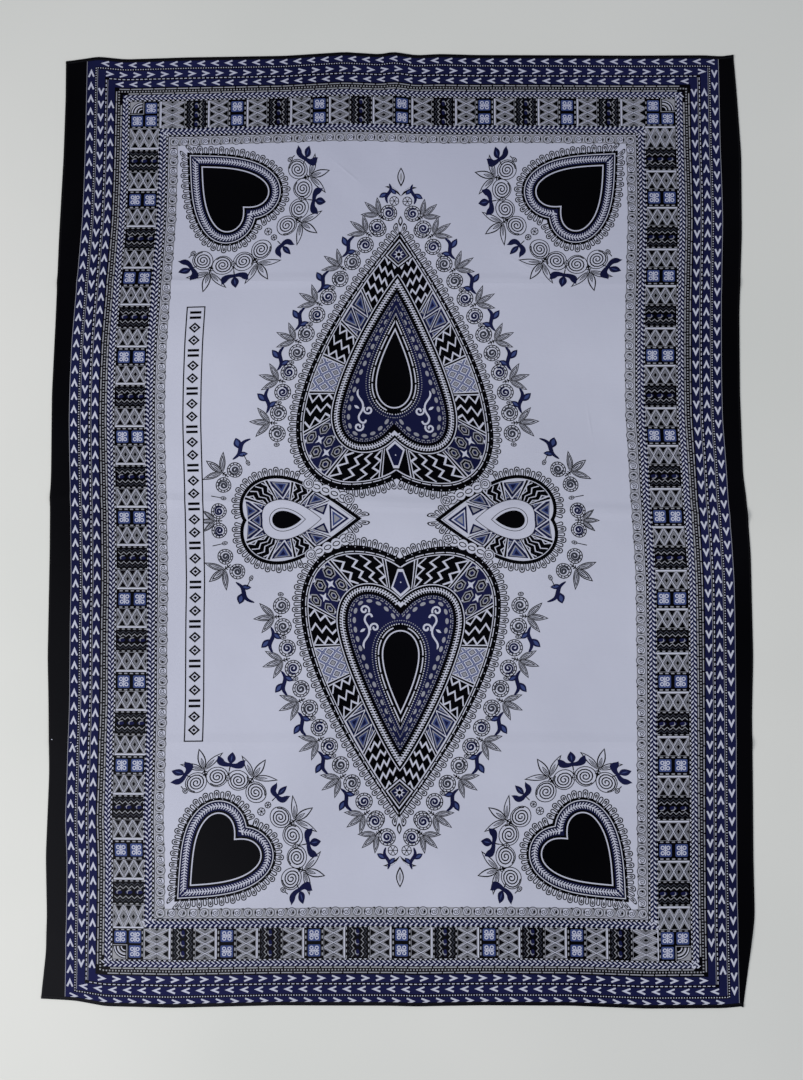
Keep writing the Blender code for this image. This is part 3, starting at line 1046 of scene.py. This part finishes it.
def beads(across_sign, along_sign):
    """A chain of white beads where two teardrops meet, with a curl and a round flower at its ends."""
    def quarter(points):
        return np.asarray(points, float) * (across_sign, along_sign) + (OFF_AXIS, SMALL_MIDDLE)

    run = BEADS_END - BEADS_START
    turn = math.degrees(math.atan2(run[1], run[0]))
    places = [BEADS_START + run * share for share in BEAD_PLACES]
    for radius, ink in ((9.9, "black"), (8.5, "ground")):
        for place in places:
            paint(ink, quarter(disc(radius, 14) + place))
    for place in places:
        outlined(spot(quarter, *place, turn), disc(1, 12) * (6.2, 4.1), 1.5)
    flower = spot(quarter, *BEADS_END)
    discs(flower, 16, ((9.0, "black"), (7.8, "ground"), (6.0, "black"), (4.8, "ground")))
    for cross in (45, 135):
        ribbon(spot(flower, 0, 0, cross + turn), "black", ((-4.8, 0), (4.8, 0)), 1.2)
    curl = spot(quarter, *BEADS_START)
    discs(curl, 16, ((9.6, "ground"), (8.4, "black"), (7.1, "ground")))
    ribbon(curl, "black", spiral(0.6, 5.6, 1.5, 12, 40), 1.3)


def small_teardrop(across_sign):
    """A black edging, a ring of panels with peaks at its point, and a black drop in a white one."""
    plane = small_plane(across_sign)
    outer, white = curve(SMALL_PANELS), curve(SMALL_WHITE)
    edge = grown(outer, 6.5)
    fills(plane, edge, ((0, "black"),))
    edging(plane, edge, pitch=8.4, length=13.5, keep=clear_of_big)
    fills(plane, edge, ((0, "black"),))
    fills(plane, outer, ((1.2, "ground"), (-0.4, "black")))
    ring = panels_round(plane, outer, white, SMALL_WIDTH, SMALL_PANEL_ROW)
    apex_end = SMALL_PANEL_ROW[0][0] * ring.length
    far, near = ring.at(((apex_end, SMALL_WIDTH), (apex_end, 0)))
    paint("ground", plane(whole(np.vstack(((0, outer[0, 1] + 2), far, near, (0, white[0, 1]))))))
    peak = np.array(((0, outer[0, 1] + 9), (far[0] - 6, far[1] + 1), (6 - far[0], far[1] + 1)))
    nested(plane, peak, ((1.0, "navy"), (0.74, "ground"), (0.56, "blue"), (0.32, "grey")))
    side_peak = np.array((far - (2, 0), near + (1, -1), (4, white[0, 1] - 6)))
    for flip in (1, -1):
        nested(mirrored(plane, flip), side_peak, ((0.8, "navy"), (0.45, "grey")))
    fills(plane, white, ((0.9, "black"), (0, "ground")))
    fills(plane, curve(SMALL_DROP, 20), ((4.6, "black"), (3.7, "ground"), (0, "black")))


def fringe_unit(at, number):
    """Two ringed spirals with a spray between them, then a bud and, in all but the last, a sprig."""
    for s, flip in ((-16.5, 1), (16.5, -1)):
        ink = "charcoal" if number % 2 else "navy"
        ringed_spiral(spot(at, s, 0), FRINGE_SPIRAL, ink, 90 + 60 * number, flip)
    spray(spot(at, 0, 10.0, 90), 33.0, 9.4)
    if number < FRINGE_UNITS - 1:
        sprig(spot(at, 34, 21.0, 80))
    bud(spot(at, 34, 7.0, -90), 1.0)


def medallion_fringe():
    """Spirals, sprays and sprigs round the whole medallion, the same in its four quarters."""
    edge, outer = curve(BIG_EDGE), curve(SMALL_PANELS)
    for sign in (-1, 1):
        ring = Ring(grown(edge, 28.5), grown(edge, 30.5), 2)
        for at in two_sides(big_plane(sign), ring):
            for number in range(FRINGE_UNITS):
                fringe_unit(spot(at, FRINGE_START + number * FRINGE_PITCH, 1.0), number)
        finial(big_plane(sign))
    for sign in (-1, 1):
        ring = Ring(grown(outer, 38.0), grown(outer, 40.0), 2)
        for at in two_sides(small_plane(sign), ring):
            for i, (from_notch, ink) in enumerate(SMALL_SPIRALS):
                ringed_spiral(spot(at, ring.length - from_notch, 1.0), 12.4, ink, 90 * i, (-1) ** i)
            bud(spot(at, ring.length - SMALL_BUD, 14.0, -90), 16.0)
            spray(spot(at, ring.length - SMALL_SPRAY, 11.0, 90), 32.0, 9.0)
            sprig(spot(at, ring.length - SMALL_SPRIG, 24.0, 60, 0.95))
            bud(spot(at, ring.length - SMALL_SPRIG, 14.0, -90), 12.0)
        spray(spot(small_plane(sign), 0, outer[-1, 1] + 50, 90))


def finial(plane):
    """The leaf on a big teardrop's point, over wings, rosettes, sprigs and spirals on both sides."""
    for flip in (1, -1):
        at = mirrored(plane, flip)
        for x, y, start, spiral_flip in FINIAL_SPIRALS:
            ringed_spiral(spot(at, x, y), FRINGE_SPIRAL, "navy", start, spiral_flip)
        spray(spot(at, 34.0, -27, -42), 31.0, 9.4)
        rosette(spot(at, 10.5, -52), 8.0)
        paint("black", at(curve(WING, 7)))
        paint("ground", at(curve(WING_HOLLOW, 5)))
        sprig(spot(at, 20, -64, -8, 0.86))
    for length, width, foot, ink in FINIAL_LEAVES:
        paint(ink, plane(lens(length, width, 9, foot)[:, ::-1]))


# --- The message's frame, without the message ---
STRIP = (-335.5, -350.0, -305.5, 338.0)
LOZENGE = np.array(((-9.5, 0), (0, -8.5), (9.5, 0), (0, 8.5)))


def message_strip():
    """A plain ruled frame with a row of lozenges and bars where the cloth has its saying."""
    u1, v1, u2, v2 = STRIP
    paint("black", box(u1, v1, u2, v2))
    paint("ground", box(u1 + 1.9, v1 + 1.9, u2 - 1.9, v2 - 1.9))
    for i, v in enumerate(np.arange(v1 + 18, v2 - 12, 20.5)):
        at = spot(flat, (u1 + u2) / 2, v)
        if i % 3 == 2:
            boxes(at, "black", 0, (-4.2, 4.2), 18, 4.0)
        else:
            nested(at, LOZENGE, ((1.0, "black"), (0.58, "ground"), (0.32, "black")))


border()
medallion_fringe()
for sign in (-1, 1):
    small_teardrop(sign)
    big_teardrop(sign)
for signs in QUARTERS:
    beads(*signs)
for signs in QUARTERS:
    corner_motif(*signs)
message_strip()


# --- Building the pieces ---
# the CAD frame's origin is under the middle of the cloth's box, and the print's middle lies beside it
FRAME_PLACE = np.array((5.0, -4.0))
CLOTH_WALL = 0.8
INK_PROUD = 0.12
UNDERSIDE_RISE = 0.08  # the room that the print showing through takes under the cloth
THROUGH_RISE = UNDERSIDE_RISE / 4
LEAST_SHOWING = 170.0  # mm2: a smaller shape is lost on the underside
SELVEDGE_LOW = 0.02
SELVEDGE_HIGH = 1.15
HEM_HIGH = 1.7
# the section of a folded edge: share of its width inwards, share of its height
EDGE_SECTION = (
    (0, 0.35), (0.12, 0.9), (0.35, 1), (0.75, 1), (0.93, 0.85), (1, 0.5), (1, 0), (0.3, 0), (0, 0.1),
)
STITCH_PITCH = 3.1
STITCH_SPARE = 4  # from both long edges
STITCH_AWAY = 4.4  # from the cut end
STITCH_LOW = -0.2  # from the hem's top
STITCH_HIGH = 0.16
# a stitch's corners: along the hem, inwards
STITCH = ((0, -0.22), (1.9, -0.22), (1.9, 0.22), (0, 0.22))
# a bar's faces, its lower corners 0 to 3 and its upper ones 4 to 7
BAR_FACES = np.array((
    (3, 2, 1, 0), (4, 5, 6, 7), (0, 1, 5, 4), (1, 2, 6, 5), (2, 3, 7, 6), (3, 0, 4, 7),
))
ACROSS_LINES = np.linspace(LEFT_CUT, RIGHT_CUT, 111)
ALONG_LINES = np.linspace(BOTTOM_CUT, TOP_CUT, 301)
TILE_COLUMNS = 5
TILE_ROWS = 10
NEAR_ONE = 0.999999  # keeps a point on the last line in the last facet
SAME_POINT = 1e-4  # nearer than this, two points of the cut become one
POINT_DECIMALS = 5
SLOPE_STEP = 1.5


def slopes(points):
    """The cloth's upward normals at points of the cut."""
    step = SLOPE_STEP
    du = height(points + (step, 0)) - height(points - (step, 0))
    dv = height(points + (0, step)) - height(points - (0, step))
    normal = np.c_[-du / (2 * step), -dv / (2 * step), np.ones(len(points))]
    return normal / np.linalg.norm(normal, axis=1)[:, None]


def grid_points():
    u, v = np.meshgrid(ACROSS_LINES, ALONG_LINES, indexing="ij")
    return np.c_[u.ravel(), v.ravel()]


GRID = height(grid_points()).reshape(len(ACROSS_LINES), len(ALONG_LINES))


def on_facets(points):
    """Heights of the base cloth's own facets, so that the print lies on them everywhere."""
    u = (points[:, 0] - LEFT_CUT) / (ACROSS_LINES[1] - LEFT_CUT)
    v = (points[:, 1] - BOTTOM_CUT) / (ALONG_LINES[1] - BOTTOM_CUT)
    u = np.clip(u, 0, len(ACROSS_LINES) - 2 + NEAR_ONE)
    v = np.clip(v, 0, len(ALONG_LINES) - 2 + NEAR_ONE)
    i, j = u.astype(int), v.astype(int)
    a, b = u - i, v - j
    return ((1 - a) * (1 - b) * GRID[i, j] + a * (1 - b) * GRID[i + 1, j]
            + (1 - a) * b * GRID[i, j + 1] + a * b * GRID[i + 1, j + 1])


def windings(middles, points, following, starts):
    """How often each closed outline winds round each of the middles, as (middles, outlines)."""
    x, y = middles[:, :1], middles[:, 1:]
    a, b = points, points[following]
    left_of = (b[:, 0] - a[:, 0]) * (y - a[:, 1]) - (x - a[:, 0]) * (b[:, 1] - a[:, 1])
    from_below, to_above = a[:, 1] <= y, b[:, 1] > y
    upwards = (from_below & to_above & (left_of > 0)).astype(np.int8)
    return np.add.reduceat(upwards - (~from_below & ~to_above & (left_of < 0)), starts, axis=1)


def cut_tile(u1, v1, u2, v2, printed, members):
    """The shapes cut into triangles inside one tile, and the last shape printed on each."""
    outlines = [box(u1, v1, u2, v2)] + [printed[number][1] for number in members]
    starts = np.cumsum([0] + [len(outline) for outline in outlines])
    points = np.concatenate(outlines)
    following = np.arange(1, len(points) + 1)
    following[starts[1:] - 1] = starts[:-1]
    edges = list(zip(range(len(points)), following.tolist()))
    ends = [((u, v1), (u, v2)) for u in ACROSS_LINES[(ACROSS_LINES > u1 + 1) & (ACROSS_LINES < u2 - 1)]]
    ends += [((u1, v), (u2, v)) for v in ALONG_LINES[(ALONG_LINES > v1 + 1) & (ALONG_LINES < v2 - 1)]]
    edges += [(len(points) + 2 * i, len(points) + 2 * i + 1) for i in range(len(ends))]
    every = list(map(tuple, points)) + [end for pair in ends for end in pair]
    found = delaunay_2d_cdt(every, edges, [], 0, SAME_POINT, False)
    triangles = np.array([tuple(p) for p in found[0]])[np.array(found[2])]
    covered = windings(triangles.mean(axis=1), points, following, starts[:-1]) != 0
    kept = covered[:, 0] & covered[:, 1:].any(axis=1)
    last = covered.shape[1] - 1 - np.argmax(covered[kept][:, ::-1], axis=1)
    return triangles[kept], members[last - 1]


def cut_print(printed):
    """Every tile's triangles as corners (n, 3, 2), and the ink printed last on each."""
    low = np.array([outline.min(axis=0) for _, outline in printed])
    high = np.array([outline.max(axis=0) for _, outline in printed])
    triangles, owners = [], []
    for i in range(0, len(ACROSS_LINES) - 1, TILE_COLUMNS):
        for j in range(0, len(ALONG_LINES) - 1, TILE_ROWS):
            u1, u2 = ACROSS_LINES[i], ACROSS_LINES[i + TILE_COLUMNS]
            v1, v2 = ALONG_LINES[j], ALONG_LINES[j + TILE_ROWS]
            members = np.flatnonzero(((low < (u2, v2)) & (high > (u1, v1))).all(axis=1))
            if len(members):
                tile_triangles, tile_owners = cut_tile(u1, v1, u2, v2, printed, members)
                triangles.append(tile_triangles)
                owners.append(tile_owners)
    return np.concatenate(triangles), np.array([ink for ink, _ in printed])[np.concatenate(owners)]


def sheet_mesh(name, points_mm, faces, normals):
    """A mesh from arrays, smooth, with the cloth's own normals at its points."""
    mesh = bpy.data.meshes.new(name)
    mesh.vertices.add(len(points_mm))
    mesh.vertices.foreach_set("co", (points_mm * MM).ravel())
    mesh.loops.add(faces.size)
    mesh.loops.foreach_set("vertex_index", faces.ravel())
    mesh.polygons.add(len(faces))
    mesh.polygons.foreach_set("loop_start", np.arange(len(faces)) * faces.shape[1])
    mesh.update(calc_edges=True)
    mesh.validate()
    mesh.polygons.foreach_set("use_smooth", np.ones(len(mesh.polygons), bool))
    mesh.normals_split_custom_set_from_vertices([tuple(n) for n in normals])
    return mesh


def closed_mesh(name, points_mm, faces):
    """A mesh of closed bodies, with its faces turned outwards."""
    mesh = bpy.data.meshes.new(name)
    mesh.from_pydata([tuple(p) for p in np.asarray(points_mm) * MM], [], faces)
    made = bmesh.new()
    made.from_mesh(mesh)
    bmesh.ops.recalc_face_normals(made, faces=made.faces)
    made.to_mesh(mesh)
    made.free()
    return mesh


def put(name, data):
    """A new object in the scene."""
    made = bpy.data.objects.new(name, data)
    bpy.context.scene.collection.objects.link(made)
    return made


def add_piece(name, mesh, material):
    mesh.materials.append(material)
    piece = put(name, mesh)
    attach(piece, "root")
    return piece


def film(name, corners, material, on_top):
    """One ink's layer: printed just proud of the cloth, or showing through on its underside."""
    points, index = np.unique(np.round(corners.reshape(-1, 2), POINT_DECIMALS), axis=0, return_inverse=True)
    triangles = index.reshape(-1, 3)
    triangles = triangles[(triangles != np.roll(triangles, 1, axis=1)).all(axis=1)]
    rise = CLOTH_WALL + INK_PROUD if on_top else THROUGH_RISE
    points_mm = np.c_[laid(points) + FRAME_PLACE, on_facets(points) + rise]
    if on_top:
        mesh = sheet_mesh(name, points_mm, triangles, slopes(points))
    else:
        mesh = sheet_mesh(name, points_mm, triangles[:, ::-1], -slopes(points))
    return add_piece(name, mesh, material)


def shows_through(outline):
    """True where a shape is large enough to be seen on the underside."""
    x, y = outline.T
    return abs(np.dot(x, np.roll(y, 1)) - np.dot(y, np.roll(x, 1))) / 2 > LEAST_SHOWING


def base_cloth(material):
    """The cotton itself, a thin closed sheet."""
    place, under = laid(grid_points()) + FRAME_PLACE, GRID.ravel()
    points_mm = np.vstack((np.c_[place, under + CLOTH_WALL], np.c_[place, under + UNDERSIDE_RISE]))
    number = np.arange(GRID.size).reshape(GRID.shape)
    quads = np.stack((number[:-1, :-1], number[1:, :-1], number[1:, 1:], number[:-1, 1:]), axis=-1)
    quads = quads.reshape(-1, 4)
    rim = np.r_[number[:, 0], number[-1, 1:], number[-2::-1, -1], number[0, -2:0:-1]]
    following = np.roll(rim, -1)
    walls = np.stack((rim, rim + GRID.size, following + GRID.size, following), axis=-1)
    faces = np.vstack((quads, quads[:, ::-1] + GRID.size, walls[:, ::-1]))
    up = slopes(grid_points())
    mesh = sheet_mesh("kanga_cloth", points_mm, faces, np.vstack((up, -up)))
    return add_piece("kanga_cloth", mesh, material)


def edge_strip(name, line, inwards, width, low, high, material):
    """A rounded strip folded over the cloth's edge along a line of the cut, in the inwards direction."""
    rows = []
    for share_in, share_up in EDGE_SECTION:
        points = line + np.array(inwards) * share_in * width
        z = height(points) + low + (high - low) * share_up
        rows.append(np.c_[laid(points) + FRAME_PLACE, z])
    number = np.arange(len(line) * len(rows)).reshape(len(line), len(rows))
    following = np.roll(number, -1, axis=1)
    quads = np.stack((number[:-1], number[1:], following[1:], following[:-1]), axis=-1)
    faces = quads.reshape(-1, 4).tolist() + [number[0].tolist(), number[-1, ::-1].tolist()]
    mesh = closed_mesh(name, np.stack(rows, axis=1).reshape(-1, 3), faces)
    mesh.polygons.foreach_set("use_smooth", [True] * len(mesh.polygons))
    return add_piece(name, mesh, material)


def stitches(name, cut_end, way_in, material):
    """A row of small stitches along a hem, each a thin raised bar."""
    points_mm, faces = [], []
    for start in np.arange(LEFT_CUT + STITCH_SPARE, RIGHT_CUT - STITCH_SPARE, STITCH_PITCH):
        corners = np.array(STITCH) * (1, way_in) + (start, cut_end + way_in * STITCH_AWAY)
        place, hem_top = laid(corners) + FRAME_PLACE, height(corners) + HEM_HIGH
        faces.extend((BAR_FACES + len(points_mm)).tolist())
        for rise in (STITCH_LOW, STITCH_HIGH):
            points_mm.extend(np.c_[place, hem_top + rise])
    return add_piece(name, closed_mesh(name, points_mm, faces), material)


# --- Materials ---
THREAD_PITCH = 0.00075  # metres
THREAD_SCALE = 1 / (3.1416 * THREAD_PITCH)  # of the wave texture that repeats at about that pitch
TONE_STOPS = (0.35, 0.65)
CLOTH_MOTTLE = 3.2  # the scale of the slow change of tone
TABLE_MOTTLE = 1.3
THROUGH_SPREAD = 4  # how far each tone on the underside is from the middle one
DULL_SPREAD = 0.06  # how far the roughness is from its middle
# which way over the cloth the painted light grows, from where to where along it in metres: painted sheen
# towards the lower left, painted shade towards the top
PAINTED_SHEEN_TO_LOWER_LEFT = ((-0.55, -0.5, 0), 0.2, 0.64)
PAINTED_SHADE_TO_TOP = ((0, 1, 0), 0.25, 0.75)
# ink, darker tone, lighter tone, tone of the painted sheen towards the lower left, its tone on the
# underside (sRGB)
INKS = {
    "black": ((1, 1, 3), (4, 4, 7), (25, 25, 28), (96, 98, 112)),
    "charcoal": ((42, 44, 54), (54, 56, 66), (62, 64, 72), (124, 126, 140)),
    "navy": ((14, 17, 46), (23, 26, 61), (28, 30, 66), (104, 108, 140)),
    "blue": ((47, 58, 101), (58, 70, 115), (62, 74, 118), (122, 129, 164)),
    "grey": ((120, 121, 130), (136, 137, 146), (140, 141, 148), (150, 152, 165)),
}


def linear(srgb):
    """Linear colour of an 8-bit sRGB one, opaque."""
    return (*(((c / 255 + 0.055) / 1.055) ** 2.4 if c > 10 else c / 255 / 12.92 for c in srgb), 1)


class Look:
    """A material and its nodes."""

    def __init__(self, name):
        self.material = bpy.data.materials.new(name)
        self.material.use_nodes = True
        self.tree = self.material.node_tree
        self.shader = self.tree.nodes["Principled BSDF"]
        self.place = self.add("TexCoord", {}).outputs["Object"]

    def feed(self, node, inputs):
        """Links each input to the socket given for it, or sets it to the value."""
        for name, value in inputs.items():
            if isinstance(value, bpy.types.NodeSocket):
                self.tree.links.new(value, node.inputs[name])
            else:
                node.inputs[name].default_value = value

    def add(self, kind, inputs, **settings):
        node = self.tree.nodes.new("ShaderNode" + kind)
        for setting, value in settings.items():
            setattr(node, setting, value)
        self.feed(node, inputs)
        return node


def noise(look, scale, detail, stretch=(1, 1, 1)):
    """A noise over the cloth, in metres; stretch squeezes it along an axis."""
    mapping = look.add("Mapping", {"Vector": look.place, "Scale": stretch})
    inputs = {"Vector": mapping.outputs["Vector"], "Scale": scale, "Detail": detail}
    return look.add("TexNoise", inputs).outputs["Fac"]


def two_tones(look, scale, tones):
    """A slow mottle between two tones."""
    ramp = look.add("ValToRGB", {"Fac": noise(look, scale, 3.0)})
    for stop, position, tone in zip(ramp.color_ramp.elements, TONE_STOPS, tones):
        stop.position = position
        stop.color = linear(tone)
    return ramp.outputs["Color"]


def threads(look, direction):
    """Fine threads lying across one direction of the cloth."""
    inputs = {
        "Vector": look.place, "Scale": THREAD_SCALE, "Distortion": 1.2, "Detail": 1.5, "Detail Scale": 0.3,
    }
    return look.add("TexWave", inputs, wave_type="BANDS", bands_direction=direction).outputs["Fac"]


def painted_light_towards(look, colour, painted_light_tone, towards):
    """The colour, changing slowly along one direction of the cloth into a tone of painted light: painted
    sheen where that tone is lighter, painted shade where it is darker.
    """
    direction, start, end = towards
    reach = look.add("VectorMath", {0: look.place, 1: direction}, operation="DOT_PRODUCT")
    share = look.add("MapRange", {"Value": reach.outputs["Value"], "From Min": start, "From Max": end})
    inputs = {"Fac": share.outputs["Result"], "Color1": colour, "Color2": linear(painted_light_tone)}
    return look.add("MixRGB", inputs).outputs["Color"]


def times_plus(look, value, factor, added=0.0):
    """A value times a factor, plus another value."""
    inputs = {0: value, 1: factor, 2: added}
    return look.add("Math", inputs, operation="MULTIPLY_ADD").outputs["Value"]


def creases(look):
    """The narrow creases, as a height in metres."""
    total = 0.0
    for u1, v1, u2, v2, half_width, top in CREASES:
        middle = (np.array((u1 + u2, v1 + v2)) / 2 + FRAME_PLACE) * MM
        half_length = math.hypot(u2 - u1, v2 - v1) / 2
        inputs = {
            "Vector": look.place,
            "Location": (*middle, 0),
            "Rotation": (0, 0, math.atan2(v2 - v1, u2 - u1)),
            "Scale": (half_length * MM, half_width * MM, 1),
        }
        on_line = look.add("Mapping", inputs, vector_type="TEXTURE").outputs["Vector"]
        line = look.add("TexGradient", {"Vector": on_line}, gradient_type="QUADRATIC_SPHERE")
        total = times_plus(look, line.outputs["Fac"], top * MM, total)
    return total


def cotton(name, tones, painted_light_tone, roughness=0.86, sheen=0.08, specular=0.12, weave=0.5, towards=PAINTED_SHEEN_TO_LOWER_LEFT):
    """Plain-weave cotton: threads, slubs, rumples, narrow creases, a slow change of tone, and painted light
    growing along one direction: painted sheen where the tone it grows into is lighter, painted shade where
    it is darker.
    """
    look = Look(name)
    slubs = noise(look, scale=60.0, detail=2.0, stretch=(1.0, 9.0, 1.0))
    rumples = noise(look, scale=13.0, detail=4.0)
    weft = times_plus(look, threads(look, "Y"), 0.5)
    plain = times_plus(look, threads(look, "X"), 0.5, weft)
    normal = {}
    # height, distance in metres, strength
    for height_from, distance, strength in (
        (creases(look), 1.0, 1.0), (rumples, 0.0027, 0.55), (slubs, 0.00025, 0.5), (plain, 0.00018, weave),
    ):
        inputs = {"Height": height_from, "Distance": distance, "Strength": strength}
        normal = {"Normal": look.add("Bump", {**inputs, **normal}).outputs["Normal"]}
    inputs = {"Value": slubs, "To Min": roughness - DULL_SPREAD, "To Max": roughness + DULL_SPREAD}
    dull = look.add("MapRange", inputs)
    look.feed(look.shader, {
        "Base Color": painted_light_towards(look, two_tones(look, CLOTH_MOTTLE, tones), painted_light_tone, towards),
        "Roughness": dull.outputs["Result"],
        "Specular IOR Level": specular,
        "Sheen Weight": sheen,
        "Sheen Roughness": 0.5,
        **normal,
    })
    return look.material


# painted shade: the lilac darkens into its third tone towards the top of the cloth
lilac_cotton = cotton(
    "lilac_cotton", ((171, 173, 189), (179, 181, 197)), (163, 165, 184), towards=PAINTED_SHADE_TO_TOP,
)
ink_materials, underside_materials = {}, {}
# painted sheen: each ink lightens into its third tone towards the lower left
for ink, (dark, light, painted_light_tone, through) in INKS.items():
    ink_materials[ink] = cotton(
        "ink_" + ink, (dark, light), painted_light_tone, roughness=0.82, sheen=0.008, specular=0.02,
    )
    near_through = [[c + away for c in through] for away in (-THROUGH_SPREAD, THROUGH_SPREAD)]
    underside_materials[ink] = cotton("through_" + ink, near_through, through)
# painted sheen: the selvedges, hems and hem thread lighten into their third tone towards the lower left
selvedge_cotton = cotton(
    "selvedge_cotton", ((6, 6, 8), (12, 12, 15)), (28, 28, 31),
    roughness=0.84, sheen=0.015, specular=0.03, weave=0.8,
)
hem_cotton = cotton(
    "hem_cotton", ((3, 3, 6), (8, 8, 11)), (26, 26, 29),
    roughness=0.84, sheen=0.015, specular=0.03, weave=0.7,
)
hem_thread = cotton(
    "hem_thread", ((20, 20, 25), (28, 28, 34)), (34, 34, 38), roughness=0.7, sheen=0.04, specular=0.1,
)


# --- The pieces ---
cloth = base_cloth(lilac_cotton)
triangles, inks = cut_print(shapes)
in_border = (np.abs(triangles.mean(axis=1)) > (FIELD_ACROSS, FIELD_ALONG)).any(axis=1)
for place, here in (("border", in_border), ("field", ~in_border)):
    for ink in INKS:
        corners = triangles[here & (inks == ink)]
        film(f"print_{place}_{ink}", corners, ink_materials[ink], True)
triangles, inks = cut_print([shape for shape in shapes if shows_through(shape[1])])
for ink in INKS:
    film("through_" + ink, triangles[inks == ink], underside_materials[ink], False)

hem_line = np.linspace(LEFT_CUT, RIGHT_CUT, 219)
cut_ends = (("top", TOP_CUT, -1), ("bottom", BOTTOM_CUT, 1))
for place, cut, way_in in (("left", LEFT_CUT, 1), ("right", RIGHT_CUT, -1)):
    line = np.c_[np.full(len(ALONG_LINES), cut), ALONG_LINES]
    edge_strip("selvedge_edge_" + place, line, (way_in, 0), SELVEDGE_WIDTH,
                            SELVEDGE_LOW, SELVEDGE_HIGH, selvedge_cotton)
for place, cut, way_in in cut_ends:
    line = np.c_[hem_line, np.full(len(hem_line), cut)]
    edge_strip("hem_fold_" + place, line, (0, way_in), HEM_WIDTH,
                            0.0, HEM_HIGH, hem_cotton)
for place, cut, way_in in cut_ends:
    stitches("hem_stitches_" + place, cut, way_in, hem_thread)

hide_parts("cloth_panel")
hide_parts("selvedge_left")
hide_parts("selvedge_right")
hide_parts("hem_top")
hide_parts("hem_bottom")


# --- Floor, light and camera ---
TABLE_HALF = 8.0
TABLE_TOP = -0.0004
CAMERA_PLACE = (0.032, -0.284, 2.3155)
CAMERA_TURN = (5.99, 0.664, 0.047)  # degrees
CAMERA_HEIGHT_ANGLE = 40.0  # degrees, over the photograph's height
ROOM_COLOUR = (0.92, 0.95, 1.0, 1)
ROOM_STRENGTH = 0.55
# name, place, what it is aimed at, side, watts, colour
LIGHTS = (
    ("window", (-2.3, -0.9, 2.0), (0, -0.2, 0), 1.6, 66, (1.0, 0.985, 0.955)),
    ("fill", (2.2, -0.4, 3.2), (0, 0, 0), 3.0, 30, (0.95, 0.975, 1.0)),
)


def table_top():
    mesh = bpy.data.meshes.new("table_top")
    corners = box(-TABLE_HALF, -TABLE_HALF, TABLE_HALF, TABLE_HALF)
    mesh.from_pydata([(x, y, TABLE_TOP) for x, y in corners], [], [(0, 1, 2, 3)])
    look = Look("pale_table")
    colour = two_tones(look, TABLE_MOTTLE, ((196, 197, 194), (203, 203, 200)))
    look.feed(look.shader, {"Base Color": colour, "Roughness": 0.6, "Specular IOR Level": 0.3})
    mesh.materials.append(look.material)
    top = put("table_top", mesh)


def area_light(name, place, aim, side_length, watts, colour):
    light = bpy.data.lights.new(name, "AREA")
    light.shape = "RECTANGLE"
    light.size = light.size_y = side_length
    light.energy = watts
    light.color = colour
    lamp = put(name, light)
    lamp.location = place
    lamp.rotation_euler = (Vector(aim) - Vector(place)).to_track_quat("-Z", "Y").to_euler()


table_top()
for light_row in LIGHTS:
    area_light(*light_row)
world = bpy.data.worlds.new("soft_room")
world.use_nodes = True
background = world.node_tree.nodes["Background"]
background.inputs["Color"].default_value = ROOM_COLOUR
background.inputs["Strength"].default_value = ROOM_STRENGTH
bpy.context.scene.world = world

camera = bpy.data.cameras.new("camera")
camera.sensor_fit = "VERTICAL"
camera.angle = math.radians(CAMERA_HEIGHT_ANGLE)
camera_object = put("camera", camera)
camera_object.location = CAMERA_PLACE
camera_object.rotation_euler = [math.radians(a) for a in CAMERA_TURN]
bpy.context.scene.camera = camera_object
bpy.context.scene.view_settings.view_transform = "Standard"

bpy.context.view_layer.update()
